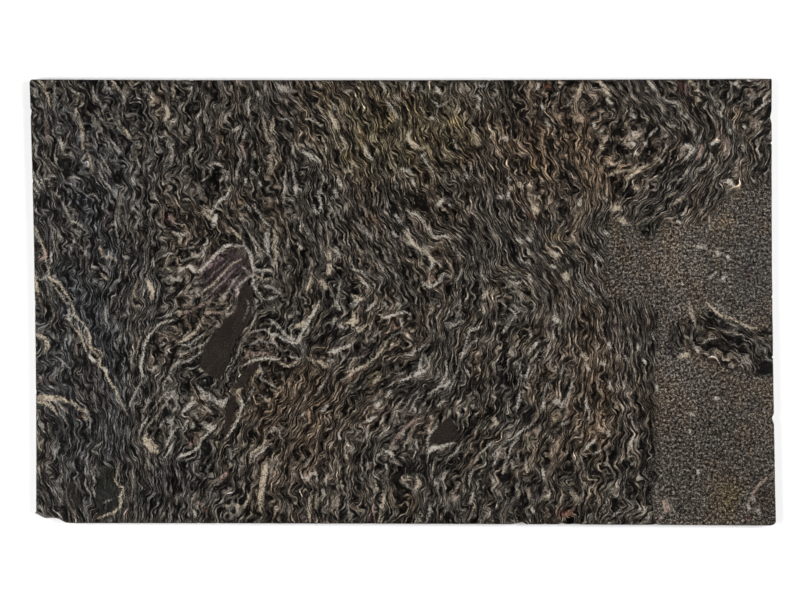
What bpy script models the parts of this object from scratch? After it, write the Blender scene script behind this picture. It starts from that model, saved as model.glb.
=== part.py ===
"""A slab of granite, as sawn from a quarry block: one piece of stone, 3 m long and 30 mm thick.

The slab lies flat on its sawn back with its polished face up. X runs along its length, Y across its
width and Z up, and the origin is the middle of its bounding box at the level of the back. Its four
edges are the block's own rough sides, a little out of square, with nicks and one corner broken off.
"""

import bmesh
import bpy
from mathutils import Vector, noise

# Driving dimensions, in metres
LENGTH = 3.000
WIDTH = 1.803
THICKNESS = 0.030
ARRIS = 0.0022  # the worn edge between the polished face and the sides
BACK_ARRIS = 0.0012
STEP = 0.030  # between points along an edge that has no nick

# The block wasn't square: how far each corner lies from that of a true rectangle, in (x, y)
CORNER_SHIFTS = {
    "front_left": (0.016, 0.007),
    "front_right": (0.011, -0.003),
    "back_right": (-0.006, 0.003),
    "back_left": (-0.011, 0.000),
}
CORNER_SIDES = {
    "front_left": (-1, -1),
    "front_right": (1, -1),
    "back_right": (1, 1),
    "back_left": (-1, 1),
}

# What happens at each corner, as points from that corner: along the side that ends there and
# along the side that starts there, both in metres inwards
WORN_CORNER = ((0.020, 0.000), (0.011, 0.003), (0.003, 0.010), (0.000, 0.016))
ROUND_CORNER = ((0.013, 0.000), (0.006, 0.002), (0.002, 0.006), (0.000, 0.013))
SHARP_CORNER = ((0.003, 0.000), (0.000, 0.002))
# The broken corner's lip stands out below the polished face, which ends further in
BROKEN_LIP = (
    (0.049, 0.001),
    (0.040, -0.006),
    (0.029, 0.014),
    (0.018, 0.035),
    (0.020, 0.052),
    (0.022, 0.068),
    (0.017, 0.091),
    (0.001, 0.118),
)
BROKEN_FACE = (
    (0.051, 0.001),
    (0.044, 0.010),
    (0.036, 0.028),
    (0.028, 0.046),
    (0.025, 0.057),
    (0.024, 0.069),
    (0.020, 0.092),
    (0.003, 0.121),
)

# Each side runs anticlockwise from one corner to the next. bow is how far it curves inwards at its
# middle, rough how far its surface wanders, noise_start where in the noise that wandering is read, and
# each nick is where it is deepest, measured along the side, how far it reaches before and after that
# point, and its depth.
SIDES = (
    {
        "name": "front",
        "noise_start": 10.5,
        "from": "front_left",
        "to": "front_right",
        "bow": 0.0025,
        "rough": 0.0007,
        "nicks": (
            (0.660, 0.010, 0.008, 0.0016),
            (0.733, 0.008, 0.009, 0.0018),
            (1.966, 0.037, 0.017, 0.0080),
            (2.059, 0.008, 0.007, 0.0030),
            (2.127, 0.014, 0.019, 0.0045),
            (2.180, 0.030, 0.026, 0.0017),
            (2.507, 0.013, 0.016, 0.0033),
        ),
    },
    {
        "name": "right",
        "noise_start": 20.5,
        "from": "front_right",
        "to": "back_right",
        "bow": 0.0060,
        "rough": 0.0016,
        "nicks": (
            (0.436, 0.024, 0.016, 0.0076),
            (0.683, 0.006, 0.006, 0.0040),
            (0.926, 0.008, 0.009, 0.0030),
            (1.549, 0.007, 0.006, 0.0040),
            (1.653, 0.024, 0.026, 0.0048),
        ),
    },
    {
        "name": "back",
        "noise_start": 30.5,
        "from": "back_right",
        "to": "back_left",
        "bow": 0.0040,
        "rough": 0.0005,
        "nicks": (
            (1.142, 0.007, 0.009, 0.0012),
            (2.350, 0.009, 0.010, 0.0032),
            (2.403, 0.012, 0.010, 0.0016),
        ),
    },
    {
        "name": "left",
        "noise_start": 40.5,
        "from": "back_left",
        "to": "front_left",
        "bow": 0.0090,
        "rough": 0.0009,
        "nicks": (
            (0.124, 0.007, 0.032, 0.0042),
            (0.411, 0.007, 0.008, 0.0032),
            (0.905, 0.012, 0.010, 0.0014),
            (1.265, 0.008, 0.012, 0.0018),
        ),
    },
)
CORNER_CUTS = {
    "front_right": (WORN_CORNER, WORN_CORNER),
    "back_right": (SHARP_CORNER, SHARP_CORNER),
    "back_left": (ROUND_CORNER, ROUND_CORNER),
    "front_left": (BROKEN_LIP, BROKEN_FACE),
}

# The rings of points that the edge is built from, back to face. face_share is 0 where a broken edge
# keeps its lip and 1 where it has the outline of the polished face, inset how far the arris cuts in.
RINGS = (
    {"z": 0.0, "inset": BACK_ARRIS, "face_share": 0.0, "rough_share": 0.0},
    {"z": BACK_ARRIS, "inset": 0.0, "face_share": 0.0, "rough_share": 0.6},
    {"z": 0.45 * THICKNESS, "inset": 0.0, "face_share": 0.0, "rough_share": 1.0},
    {"z": THICKNESS - ARRIS, "inset": 0.0, "face_share": 0.6, "rough_share": 0.6},
    {"z": THICKNESS, "inset": ARRIS, "face_share": 1.0, "rough_share": 0.0},
)
ROUGH_WAVE = 0.085  # the length of the wandering along a side, in metres
ROUGH_LAYER = 0.020  # and through the thickness
NICK_SLOPE = 0.0015  # how much further a nick reaches in at the face than at the back
CORNER_KEEP = 0.03  # the wandering fades out this near a corner

STONE = {"colour": (0.052, 0.043, 0.037, 1.0), "roughness": 0.32, "metallic": 0.0}


def corner(name):
    """The corner of the slab's outline, before it was worn or broken."""
    along, across = CORNER_SIDES[name]
    shift = Vector(CORNER_SHIFTS[name])
    return Vector((along * LENGTH / 2, across * WIDTH / 2)) + shift


def cut_of(name, face_share):
    """The corner's cut, part way from the lip's outline to that of the polished face."""
    lip, face = CORNER_CUTS[name]
    return [Vector(a).lerp(Vector(b), face_share) for a, b in zip(lip, face)]


def nick_depth(side, along, face_share):
    """How deep the side's nicks are at this distance along it."""
    depth = 0.0
    for where, before, after, deepest in side["nicks"]:
        reach = before if along < where else after
        share = 1.0 - abs(along - where) / reach
        if share > 0.0:
            depth = max(depth, share * (deepest + NICK_SLOPE * face_share))
    return depth


def places_along(side, start, end):
    """Where the side has points: at a steady step, and at the feet and bottom of each nick."""
    steps = max(1, round((end - start) / STEP))
    places = {start + (end - start) * k / steps for k in range(steps + 1)}
    for where, before, after, _ in side["nicks"]:
        feet = (where - before, where - before / 2, where, where + after / 2, where + after)
        gap = min(before, after) / 2
        places = {p for p in places if all(abs(p - foot) > gap for foot in feet)}
        places |= set(feet)
    return sorted(p for p in places if start < p < end)


def side_points(side, ring):
    """The points of one side of a ring, from the end of one corner's cut to the start of the next."""
    first, last = corner(side["from"]), corner(side["to"])
    length = (last - first).length
    forward = (last - first) / length
    inward = Vector((-forward.y, forward.x))
    start = cut_of(side["from"], ring["face_share"])[-1].y
    end = length - cut_of(side["to"], ring["face_share"])[0].x
    # Every ring has its points at the same places, so that the rings can be bridged
    lip_start = cut_of(side["from"], 0.0)[-1].y
    lip_end = length - cut_of(side["to"], 0.0)[0].x
    points = []
    for place in places_along(side, lip_start, lip_end):
        share = (place - lip_start) / (lip_end - lip_start)
        along = start + (end - start) * share
        fade = min(1.0, along / CORNER_KEEP, (length - along) / CORNER_KEEP)
        spot = (along / ROUGH_WAVE, ring["z"] / ROUGH_LAYER, side["noise_start"])
        wander = side["rough"] * ring["rough_share"] * fade * noise.noise(Vector(spot))
        bow = side["bow"] * 4.0 * (along / length) * (1.0 - along / length)
        depth = bow + wander + nick_depth(side, place, ring["face_share"]) + ring["inset"]
        points.append(first + forward * along + inward * depth)
    return points


def corner_points(before, after, ring):
    """The points round the corner between two sides."""
    here = corner(after["from"])
    back = (corner(before["from"]) - here).normalized()
    ahead = (corner(after["to"]) - here).normalized()
    into = Vector((ring["inset"], ring["inset"]))
    cut = [p + into for p in cut_of(after["from"], ring["face_share"])]
    return [here + back * p.x + ahead * p.y for p in cut]


def ring_points(ring):
    """One closed ring round the slab, anticlockwise."""
    points = []
    for number, side in enumerate(SIDES):
        points += corner_points(SIDES[number - 1], side, ring)
        points += side_points(side, ring)
    return points


def build_slab():
    """The slab as one closed solid: its rings bridged into the rough edge, and two flat faces."""
    outlines = [ring_points(ring) for ring in RINGS]
    xs = [p.x for outline in outlines for p in outline]
    ys = [p.y for outline in outlines for p in outline]
    middle = Vector((max(xs) + min(xs), max(ys) + min(ys))) / 2
    bm = bmesh.new()
    loops = []
    for ring, outline in zip(RINGS, outlines):
        verts = [bm.verts.new((*(p - middle), ring["z"])) for p in outline]
        pairs = zip(verts, verts[1:] + verts[:1])
        loops.append([bm.edges.new(pair) for pair in pairs])
    for lower, upper in zip(loops, loops[1:]):
        bmesh.ops.bridge_loops(bm, edges=lower + upper)
    for loop in (loops[0], loops[-1]):
        bmesh.ops.contextual_create(bm, geom=loop)
    bmesh.ops.triangulate(bm, faces=bm.faces[:], quad_method="BEAUTY", ngon_method="BEAUTY")
    bmesh.ops.recalc_face_normals(bm, faces=bm.faces[:])
    mesh = bpy.data.meshes.new("granite_slab")
    bm.to_mesh(mesh)
    bm.free()
    return mesh


def stone_material():
    """Dark grey-brown granite with a honed polish."""
    material = bpy.data.materials.new("granite")
    material.use_nodes = True
    shader = material.node_tree.nodes["Principled BSDF"]
    shader.inputs["Base Color"].default_value = STONE["colour"]
    shader.inputs["Roughness"].default_value = STONE["roughness"]
    shader.inputs["Metallic"].default_value = STONE["metallic"]
    material.diffuse_color = STONE["colour"]
    return material


def main():
    for old in list(bpy.data.objects):
        bpy.data.objects.remove(old)
    slab = bpy.data.objects.new("granite_slab", build_slab())
    slab.data.materials.append(stone_material())
    bpy.context.scene.collection.objects.link(slab)


main()
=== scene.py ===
import math

import bmesh
import bpy
import numpy as np
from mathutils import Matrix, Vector, noise


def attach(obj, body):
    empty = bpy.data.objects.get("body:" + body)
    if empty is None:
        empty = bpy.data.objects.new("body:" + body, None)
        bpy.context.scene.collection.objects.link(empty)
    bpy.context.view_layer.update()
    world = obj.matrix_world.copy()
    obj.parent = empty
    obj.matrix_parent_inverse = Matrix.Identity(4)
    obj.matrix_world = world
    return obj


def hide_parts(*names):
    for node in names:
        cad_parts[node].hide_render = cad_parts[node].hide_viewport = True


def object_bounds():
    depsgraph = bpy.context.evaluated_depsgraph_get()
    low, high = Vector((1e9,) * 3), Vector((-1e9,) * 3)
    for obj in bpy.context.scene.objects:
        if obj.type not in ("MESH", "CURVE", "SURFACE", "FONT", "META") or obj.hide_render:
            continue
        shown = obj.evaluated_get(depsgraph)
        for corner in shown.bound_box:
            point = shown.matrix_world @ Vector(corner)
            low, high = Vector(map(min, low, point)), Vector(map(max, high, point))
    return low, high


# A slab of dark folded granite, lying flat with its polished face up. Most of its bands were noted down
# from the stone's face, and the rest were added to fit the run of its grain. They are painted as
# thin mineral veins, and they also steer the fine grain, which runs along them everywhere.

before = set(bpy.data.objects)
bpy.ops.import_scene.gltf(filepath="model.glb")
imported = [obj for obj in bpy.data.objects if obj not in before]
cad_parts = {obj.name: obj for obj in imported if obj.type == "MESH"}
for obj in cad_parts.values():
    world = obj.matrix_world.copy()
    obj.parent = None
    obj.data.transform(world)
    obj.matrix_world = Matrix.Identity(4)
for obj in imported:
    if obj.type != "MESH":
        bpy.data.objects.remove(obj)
cad_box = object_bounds()

# The face as the camera sees it, in pixels: one pixel's size in metres, the slab's middle, the frame
PIXEL = 3.000 / 741.6
MIDDLE_U = 402.7
MIDDLE_V = 302.15
FRAME_WIDTH = 805
FRAME_HEIGHT = 604

# The mesh of the slab, in metres
FACE_LEVEL = 0.030  # the polished face
MERGE = 0.00001
FACE_COLUMNS = 344
FACE_ROWS = 206
SIDE_BANDS = (1, 4, 4, 1)  # rows of faces between the solid's outlines, from the face down
SIDE_ROUGH = 0.00045  # how deep the dents in the broken sides are
SIDE_DENTS = ((70.0, 1.0), (190.0, 0.6))  # dents to a metre, and how much they count
SHARP_EDGE = 35.0  # the least angle between two faces that show a sharp edge, in degrees

# The UV map, as shares of its height and length: where each part starts and how much it takes up
LEVEL_NORMAL = 0.95  # a normal that points this far up or down is on the face or on the back
UV_LENGTH = (0.01, 0.98)
UV_FACE = (0.01, 0.80)
UV_BACK = (0.83, 0.10)
UV_FRONT_SIDE, UV_BACK_SIDE, UV_LEFT_SIDE, UV_RIGHT_SIDE = 0.94, 0.955, 0.97, 0.985
UV_SIDE = 0.012

# The lattice on which the run of the grain is worked out, in pixels
LATTICE_STEP = 4.0
LATTICE_U = (12.0, 792.0)
LATTICE_V = (64.0, 540.0)
STEERING_LENGTH = 6.0  # a shorter band doesn't steer the grain
STEERING_STRETCH = 1.0  # nor does a shorter stretch of it
STEERING_MOST = 14.0  # a longer stretch steers no more than this one
STEERING_NEAR = 40.0  # in square pixels: closer than this a band steers hardly any more
STEERING_POWER = 1.6  # how fast it steers less further away
STEADY = 0.35  # how firmly the layers keep their thickness, against running along the bands
STRETCHING = 0.0004  # how firmly they keep an even slope
SOLVING_ROUNDS = 900

# How a band is painted, in pixels
MARGIN = 9.0  # how far from a band its distance is still worked out
APART = 7.5  # bands closer together than this go in different layers
DOT_STEP = 1.5
TINY = 0.001
TAPERED = 9.0  # a shorter band keeps its width, a longer one narrows to half at its ends
TAPER_LEAST = 2.0
TAPER_SHARE = 0.22  # of its length
SIDE_FADE = (3.8, 1.4)  # beside a band: where its paint has ended, and over how far it fades
END_FADE = (0.4, 2.2)  # past its ends: where it starts to fade, in half widths, and over how far
DEEPEST = 20.0  # the depth inside an area is worked out no further than this

# Colours, linear
MINERALS = {
    "dark": (0.0038, 0.0035, 0.0036),
    "rust": (0.120, 0.040, 0.020),
    "pink": (0.300, 0.215, 0.180),
    "cream": (0.420, 0.350, 0.262),
    "white": (0.400, 0.365, 0.315),
}
BASE_STONE = (0.0480, 0.0412, 0.0345)
PALE_GRAINS = (0.330, 0.300, 0.255)
THREADS = (0.300, 0.270, 0.228)
WARM_CAST = (1.16, 0.98, 0.80)
LENS_BROWN = (0.0190, 0.0145, 0.0120)
ROUGH_STONE = (0.062, 0.055, 0.048)
STONE_DUST = (0.190, 0.180, 0.165)
PALE_FLOOR = (0.90, 0.90, 0.90)

# What each tint adds to red, green and blue, in natural logarithms
TINTS = {
    "plain": (0.0, 0.0, 0.0),
    "blue": (-0.06, -0.01, 0.05),
    "brown": (0.12, 0.00, -0.12),
    "cream": (0.08, 0.02, -0.08),
    "yellow": (0.14, 0.09, -0.16),
    "pink": (0.14, -0.05, -0.02),
    "purple": (0.06, -0.08, 0.06),
    "green": (-0.06, 0.06, -0.05),
    "rust": (0.35, -0.15, -0.25),
}

# Noise on the face that has no direction: its scale to a pixel, its detail and its roughness
EVEN_NOISES = {
    "waver": (0.06, 1.0, 0.5),
    "ripple": (0.13, 2.0, 0.5),
    "drift": (0.30, 2.0, 0.5),
    "grain": (0.65, 1.5, 0.7),
    "speckle": (0.36, 3.0, 0.85),
    "mottle": (0.075, 3.0, 0.6),
    "pale": (0.42, 2.0, 0.6),
    "patchy": (0.10, 3.0, 0.65),
    "light": (0.17, 4.0, 0.7),
    "wobble": (0.60, 2.0, 0.65),
    "uneven": (0.50, 3.0, 0.75),
}

# Noise that is drawn out along the strata: how thick and how long its layers are in pixels, its
# detail and roughness, and where it starts
LAYERED_NOISES = {
    "broad": (7.0, 42.0, 3.0, 0.65, 0.0),
    "bands": (1.8, 20.0, 1.0, 0.6, 0.0),
    "fine": (0.95, 8.0, 1.0, 0.5, 0.0),
    "darks": (1.6, 18.0, 1.5, 0.55, 31.0),
    "threads": (1.5, 17.0, 1.5, 0.55, 0.0),
    "warm": (22.0, 60.0, 3.0, 0.6, 0.0),
}

# How much lighter or darker each noise and each area makes the stone, in natural logarithms
TONES = {
    "broad": 6.0,
    "bands": 12.5,
    "fine": 11.0,
    "mottle": 2.2,
    "grain": 4.5,
    "speckle": 21.0,
    "granular area": 0.62,
    "quiet area": 0.10,
    "lens": -0.7,
    "foliated area": -0.30,
    "whole face": -1.16,
}
BRIGHT_TONE = 1.1  # above this, a lighter tone is held back by the share below
HOLD_BACK = 0.45

# How far each noise moves the strata, in pixels
BENDS = {"waver": 16.0, "ripple": 3.2, "drift": 1.6}

# How far each area's edge wanders, and the depths between which the area sets in, in pixels
AREA_EDGES = {
    "lens": (2.5, -0.6, 0.9),
    "granular": (14.0, -4.0, 4.0),
    "foliated": (8.0, -3.0, 3.0),
    "quiet": (6.0, -2.5, 2.5),
}

# The share of each that is missing in the lenses and in the quiet areas
MISSING = {
    "layers": (0.92, 0.72),
    "grain": (0.80, 0.45),
    "darks": (1.0, 0.7),
    "threads": (1.0, 0.8),
    "light": (1.0, 0.0),
}

# The values of a noise between which something sets in, and its least and its greatest strength
THRESHOLDS = {
    "darks": (0.555, 0.64, 0.0, 0.85),
    "pale": (0.56, 0.68, 0.0, 0.60),
    "threads": (0.555, 0.66, 0.0, 0.85),
    "patchy": (0.44, 0.60, 0.12, 0.87),
    "warm": (0.44, 0.62, 0.0, 0.55),
    "light": (0.66, 0.74, 0.0, 0.35),
    "uneven": (0.38, 0.60, 0.15, 1.0),
}
THREAD_GAPS = 3.0  # how much the grain interrupts the threads
THREAD_WHOLE = 0.9  # how whole they are where the grain is even
LIGHT_RUN = 0.35  # how much the light grains follow the fine layers
LENS_GRAIN = (3.0, 1.5)  # how the grain and the bands change the tone of the lenses
LENS_COVER = 0.85
BAND_WOBBLE = (5.0, 2.0)  # how far the wobble and the drift move a painted band, in pixels
BAND_RUN = 0.5  # how much its paint follows the bands of the grain
BAND_EDGE = (-0.8, 0.7)  # the depths in a band between which its paint sets in, in pixels
WITHIN_STOP = 0.4  # keeps a mineral's number clear of where its colour starts
PATCH_FADE = 0.9  # how fast a patch fades from its middle
PATCH_FLAT = 1.5  # how flat its middle is
FACE_GLOSS = (0.30, 0.16)  # the face's roughness, and how much the grain changes it
FACE_SPECULAR = 0.20

# Noise on the rough sides and back: its scale to a metre along X, Y and Z, its detail and roughness
ROUGH_NOISES = {
    "bend": ((3.0, 3.0, 3.0), 3.0, 0.6),
    "layers": ((55.0, 9.0, 20.0), 4.0, 0.65),
    "grain": ((190.0, 190.0, 190.0), 3.0, 0.7),
    "dust": ((28.0, 28.0, 28.0), 4.0, 0.65),
    "saw marks": ((3.0, 420.0, 30.0), 2.0, 0.6),
}
LAYER_SLANT = 0.25
LAYER_BEND = 0.30
ROUGH_TONES = {"layers": 2.2, "grain": 1.5, "saw marks": 0.5}
ROUGH_HEIGHTS = {"grain": 0.5, "dust": 0.6, "saw marks": 0.4}
BUMP_STRENGTH = 0.6
BUMP_DISTANCE = 0.0012
DUSTY = (0.0, 0.22, 0.0, 0.35)  # the values of the dust noise where it sets in, and its strengths
ROUGH_DULLNESS = (0.80, 0.2)  # roughness, and how much the grain changes it
FLOOR_ROUGHNESS = 0.9
FLOOR_SPECULAR = 0.1

# The camera and the studio, in metres
CAMERA_LENS = 85.0
SENSOR = 36.0
FAR = 100.0
FLOOR_REACH = 40.0
LAMP_PLACE = (7.0, 0.8, 4.4)
LAMP_SIZE = (4.0, 5.0)
LAMP_POWER = 760.0
SURROUND = [(0.35, (0.80, 0.80, 0.80)), (0.75, (0.02, 0.02, 0.02))]  # from the horizon up

# Bands of the polished face: the mineral, how strong it is, its width and its path, in pixels
BANDS = {
    "upper left": """
cream 0.8 2.0 38,80 43,85 46,92 48,98 50,106
white 0.5 1.0 55,80 55,87 54,93 51,97
white 0.5 1.2 30,81 34,83 37,87
white 0.3 1.0 30,93 36,95 40,98
white 0.8 1.6 73,91 77,93 81,96
cream 0.5 1.5 78,97 77,102
cream 0.7 2.2 76,108 76,113 74,119
cream 0.55 3.2 80,119 82,130 83,141 83,150
dark 0.7 1.2 85,121 86,132 85,144 86,153
pink 0.5 2.0 87,138 89,147
pink 0.4 4.5 46,121 47,130 47,138
white 0.9 3.0 60,140 63,148
dark 0.6 1.2 50,122 53,129 58,137 59,143
white 0.5 1.0 42,151 47,158
white 0.5 1.0 43,161 49,170
white 0.5 1.2 50,161 56,167 62,170
dark 0.5 1.0 51,145 57,151 62,156
white 0.9 2.0 33,172 36,179 40,187
white 0.9 2.0 38,173 42,182 44,186
white 0.8 1.6 45,179 48,179
white 0.7 1.5 50,176 54,176
white 0.6 1.6 70,178 75,177 80,179
white 0.8 2.0 33,186 37,193
cream 0.7 2.0 113,81 117,86 121,92 125,101
dark 0.7 1.6 124,80 129,84 131,88 133,94
white 0.6 1.5 129,83 132,87
white 0.6 1.2 145,81 149,85 151,89
white 0.6 1.2 146,88 147,92
white 0.5 1.5 93,88 95,97 100,102 102,108
white 0.5 1.2 107,106 113,119 120,131 130,139
dark 0.5 1.0 103,108 110,122 117,133 126,142
white 0.6 1.2 98,115 104,122 107,127
white 0.5 1.0 110,125 116,135 119,141 123,150
dark 0.7 1.2 111,123 117,132 124,138 130,142
cream 0.8 3.4 123,129 127,133 130,136
white 0.8 1.2 111,141 117,147 122,153
white 0.4 1.0 95,119 103,134 110,147 117,158
dark 0.4 1.0 92,120 99,134 106,148 113,160
white 0.7 1.2 100,155 104,161 110,171
white 0.8 1.5 98,161 105,170 110,175
dark 0.6 1.2 97,163 103,171 109,178
white 0.7 1.5 100,172 104,182 110,189
cream 0.6 2.0 87,151 91,161 93,170
white 0.5 1.4 82,160 85,155
white 0.7 1.5 137,159 140,167
white 0.8 3.0 133,179 134,183
cream 0.7 4.0 173,87 174,98
cream 0.7 4.0 166,107 168,115 166,122
cream 0.9 2.5 165,132 166,133
dark 0.7 2.5 163,171 168,164 176,162
dark 0.7 3.0 168,104 173,101 177,106
white 0.5 2.0 166,181 169,179 173,182
""",
    "left": """
cream 0.85 1.7 35,228 39,236 42,244 45,253 46,261 48,268 49,277
white 0.6 1.0 33,231 38,239 41,244
pink 1.0 3.4 42,259 45,257 46,252
white 0.6 1.2 49,220 51,229 53,237 54,246 54,250 51,257 51,262 49,270
white 0.9 2.4 51,254 51,261
white 0.4 1.0 55,251 57,245
white 0.5 1.0 54,227 59,237 61,241
white 0.5 1.0 58,231 62,239
white 0.7 1.3 36,277 41,280 46,277 49,274
cream 0.9 3.6 35,281 37,288 38,293
white 0.3 1.0 46,279 47,287 47,292 49,299
cream 0.9 2.2 49,277 52,279 59,283 63,289 67,296 71,301
cream 0.75 1.6 50,279 53,285 57,290 62,297 66,303
white 0.6 1.5 55,193 59,197
white 0.5 1.5 61,201 66,209 70,219
dark 0.7 1.4 68,208 74,213 80,218
white 0.4 1.2 67,206 74,210 78,215
white 0.8 1.6 71,221 77,223 83,229 87,231
white 0.5 2.0 73,229 79,232
white 0.8 1.5 72,240 75,242
white 0.5 1.2 78,244 82,249 86,253
white 0.4 1.0 42,210 46,216
white 0.5 1.5 116,210 115,219 116,227 118,239 119,245
white 0.4 1.0 118,209 119,220 121,229
cream 0.9 3.0 100,248 102,254 106,257
dark 0.9 2.4 103,253 104,256
dark 0.9 1.7 123,260 119,271 114,278 111,286
cream 0.7 1.3 127,264 126,271 125,277
cream 0.9 4.0 147,280 150,286 153,293 151,299
cream 0.6 2.2 138,281 134,290 133,297
white 0.9 2.0 164,256 169,254 173,252
white 0.8 1.6 153,261 154,266
white 0.5 1.5 158,223 164,227
dark 0.6 2.4 166,229 169,226
white 0.6 2.0 154,194 156,198
white 0.5 1.2 136,217 139,224
dark 0.5 2.0 146,208 146,219 145,230
white 0.7 1.5 89,195 94,194 99,200
cream 0.7 2.4 101,274 107,279
dark 0.6 2.0 106,282 109,279
cream 0.4 2.0 110,256 116,260
""",
    "left middle": """
cream 0.9 2.0 70,302 73,306 74,313 78,319 83,323 86,328 89,333 90,341 90,346 93,351 97,355 100,359 \
99,365 102,368 106,371 107,376 110,382 114,388 117,393 121,401 124,408 127,414
cream 0.8 1.8 69,303 70,308 69,313 68,318 71,323 74,328 78,332 81,336 83,342 86,349 88,355 90,358 94,361
cream 0.6 1.6 79,328 81,333 86,339 87,344
cream 0.7 1.6 92,348 98,350 103,353 102,357
white 0.9 3.0 90,357 94,361
white 0.9 3.0 74,315 76,317
white 0.95 3.2 105,369 107,372
pink 0.4 2.4 78,337 76,345 77,354
white 0.4 1.0 118,399 121,409
cream 0.9 3.2 35,334 40,336 45,338 47,342 48,347 45,352
white 0.35 1.4 48,300 52,307 54,315 51,322 46,326 42,328
white 0.5 1.8 53,334 54,338
white 0.55 1.2 55,356 60,359 64,363 63,369 59,373 55,376 54,381
white 0.5 1.0 64,363 69,368
cream 1.0 5.5 35,397 43,398 51,398 60,399 66,401
cream 0.75 3.0 38,402 46,403 53,408 56,413
cream 0.6 2.0 54,401 60,405 66,411
cream 0.7 3.0 71,402 75,405
dark 0.9 2.2 58,400 64,403 70,409
dark 0.8 3.0 71,396 77,403
dark 0.5 2.5 38,406 43,410
cream 0.5 4.0 78,409 87,411
dark 0.6 1.4 36,392 44,391 56,392 66,395
white 0.5 1.5 105,305 106,315 106,325 106,330
cream 0.5 1.5 119,335 119,341 118,346
white 0.6 1.5 131,351 132,358 131,363
cream 0.5 1.6 139,329 141,336 139,343 137,349
white 0.95 2.6 154,330 149,336 145,342 144,350 142,359 141,368 143,375
dark 0.9 2.8 150,341 146,348 146,358 144,369
white 0.8 1.6 154,328 161,323 169,321 175,320
white 0.9 1.6 167,316 174,313 179,311
dark 0.6 1.2 152,327 160,320 168,318 177,317
pink 0.6 2.6 157,332 166,335 173,338 178,341
dark 0.6 1.2 160,329 170,331 179,333
white 0.8 2.0 176,363 171,369 169,376 164,383 163,389
white 0.6 1.5 168,349 165,355
white 0.8 2.0 152,370 155,368
white 0.8 2.2 162,345 164,344
white 0.6 1.5 142,381 137,389 132,399 129,408
white 0.5 1.2 148,376 144,383
white 0.5 1.4 159,388 153,396 147,405 143,412
dark 0.6 1.4 162,386 156,395 150,404
white 0.5 1.4 169,388 163,396 156,405 150,412
dark 0.6 1.4 172,386 166,395 159,405
white 0.6 1.5 176,388 169,399 161,409
dark 0.6 1.5 178,392 172,401 165,411
""",
    "lower left": """
cream 0.9 3.2 84,416 86,419
rust 0.6 1.6 80,417 83,416
dark 0.8 2.4 82,422 86,423
white 0.4 1.0 86,422 91,430
white 0.6 1.2 61,414 66,420
dark 0.6 1.2 110,457 113,461 118,467
cream 0.95 1.9 118,468 117,474 115,480 118,485 123,488 123,491 120,497 121,503 119,508 113,513 106,515 \
99,518
dark 0.7 1.2 113,474 112,480 115,485
white 0.5 1.2 124,488 124,497 121,505 120,514
dark 0.6 1.5 127,493 128,500
white 0.6 1.1 105,502 110,500
white 0.6 1.6 91,471 93,477 95,481
dark 0.8 1.6 90,477 94,483 90,488
white 0.4 1.2 96,464 93,470
white 0.6 1.6 94,491 95,496
white 0.6 1.6 96,447 101,443
white 0.5 1.6 93,451 98,454
dark 0.7 1.2 63,488 66,503 71,511 78,521
white 0.5 1.4 61,489 63,494
dark 0.4 1.0 46,491 53,497 60,503
dark 0.6 1.5 81,484 89,494 91,501
dark 0.6 1.2 104,451 113,461 117,465
dark 0.5 2.2 126,444 125,455 126,466
cream 1.0 8.5 145,439 150,445 156,451
dark 0.7 1.6 142,444 148,450 153,457
white 0.8 1.8 149,417 143,424 140,430
white 0.5 1.2 159,413 153,420 147,427
dark 0.6 1.4 161,415 155,423 149,430
white 0.5 1.2 167,417 160,427
white 0.8 1.8 174,417 169,427
white 0.8 1.6 177,427 170,437 166,447
white 0.8 1.6 173,444 167,454 164,458
dark 0.6 1.4 175,437 168,447 162,457
white 0.5 1.6 147,460 149,468
dark 0.5 2.0 160,488 156,501 153,508
dark 0.4 1.0 136,495 145,493 153,493
""",
    "upper middle left": """
white 0.8 1.6 249,99 248,107 249,111 248,116
white 0.7 2.0 265,86 265,90
white 0.9 2.6 258,93 259,95
white 0.5 1.5 261,93 260,100
cream 0.6 2.0 255,105 256,108
white 0.6 1.5 197,117 201,111
white 0.6 1.2 224,121 227,115 232,110
white 0.4 1.2 220,117 224,111
white 0.6 1.2 180,107 184,103
white 0.9 3.2 234,130 238,128
white 0.9 2.2 245,134 243,138
pink 0.6 2.6 243,140 241,146 244,152 245,156
white 0.8 1.8 241,159 239,164 237,171 236,178
white 0.8 3.0 228,173 227,179
pink 0.5 2.0 217,136 218,144 216,151
dark 0.5 1.2 221,139 220,148
white 0.8 2.6 193,148 190,152 191,156
white 0.6 1.8 212,163 219,164 222,167
white 0.9 2.2 222,171 224,171
white 0.7 1.5 203,180 208,177
cream 0.6 3.0 263,119 266,129 266,138
cream 0.6 3.0 273,118 271,132
white 0.5 1.5 262,111 269,118
dark 0.8 9.0 283,108 293,107
pink 0.7 1.5 279,107 281,112 285,115
dark 0.5 3.0 274,114 281,118
white 0.7 1.5 281,119 289,119 292,124
dark 0.5 8.0 285,129 289,127
white 0.5 6.0 280,87 290,91
dark 0.7 1.5 290,91 297,99
white 0.5 1.2 289,94 296,102
white 0.8 1.7 306,119 310,119 316,123
cream 0.9 3.2 317,82 320,86
cream 0.6 2.2 317,105 323,113
white 1.0 5.0 305,153 312,156 319,161
white 0.6 1.0 296,144 299,151 303,150 307,149
white 0.5 1.5 291,161 294,175 296,187
white 0.6 2.0 286,172 284,187
dark 0.5 1.3 293,142 297,152 300,164 300,173
white 0.7 2.0 323,177 324,180
white 0.6 1.6 252,165 251,171 256,175
dark 0.6 3.2 255,168 256,171
cream 0.4 5.0 271,165 268,178
white 0.8 2.5 246,179 246,184
white 0.8 2.2 260,183 261,185
""",
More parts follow.
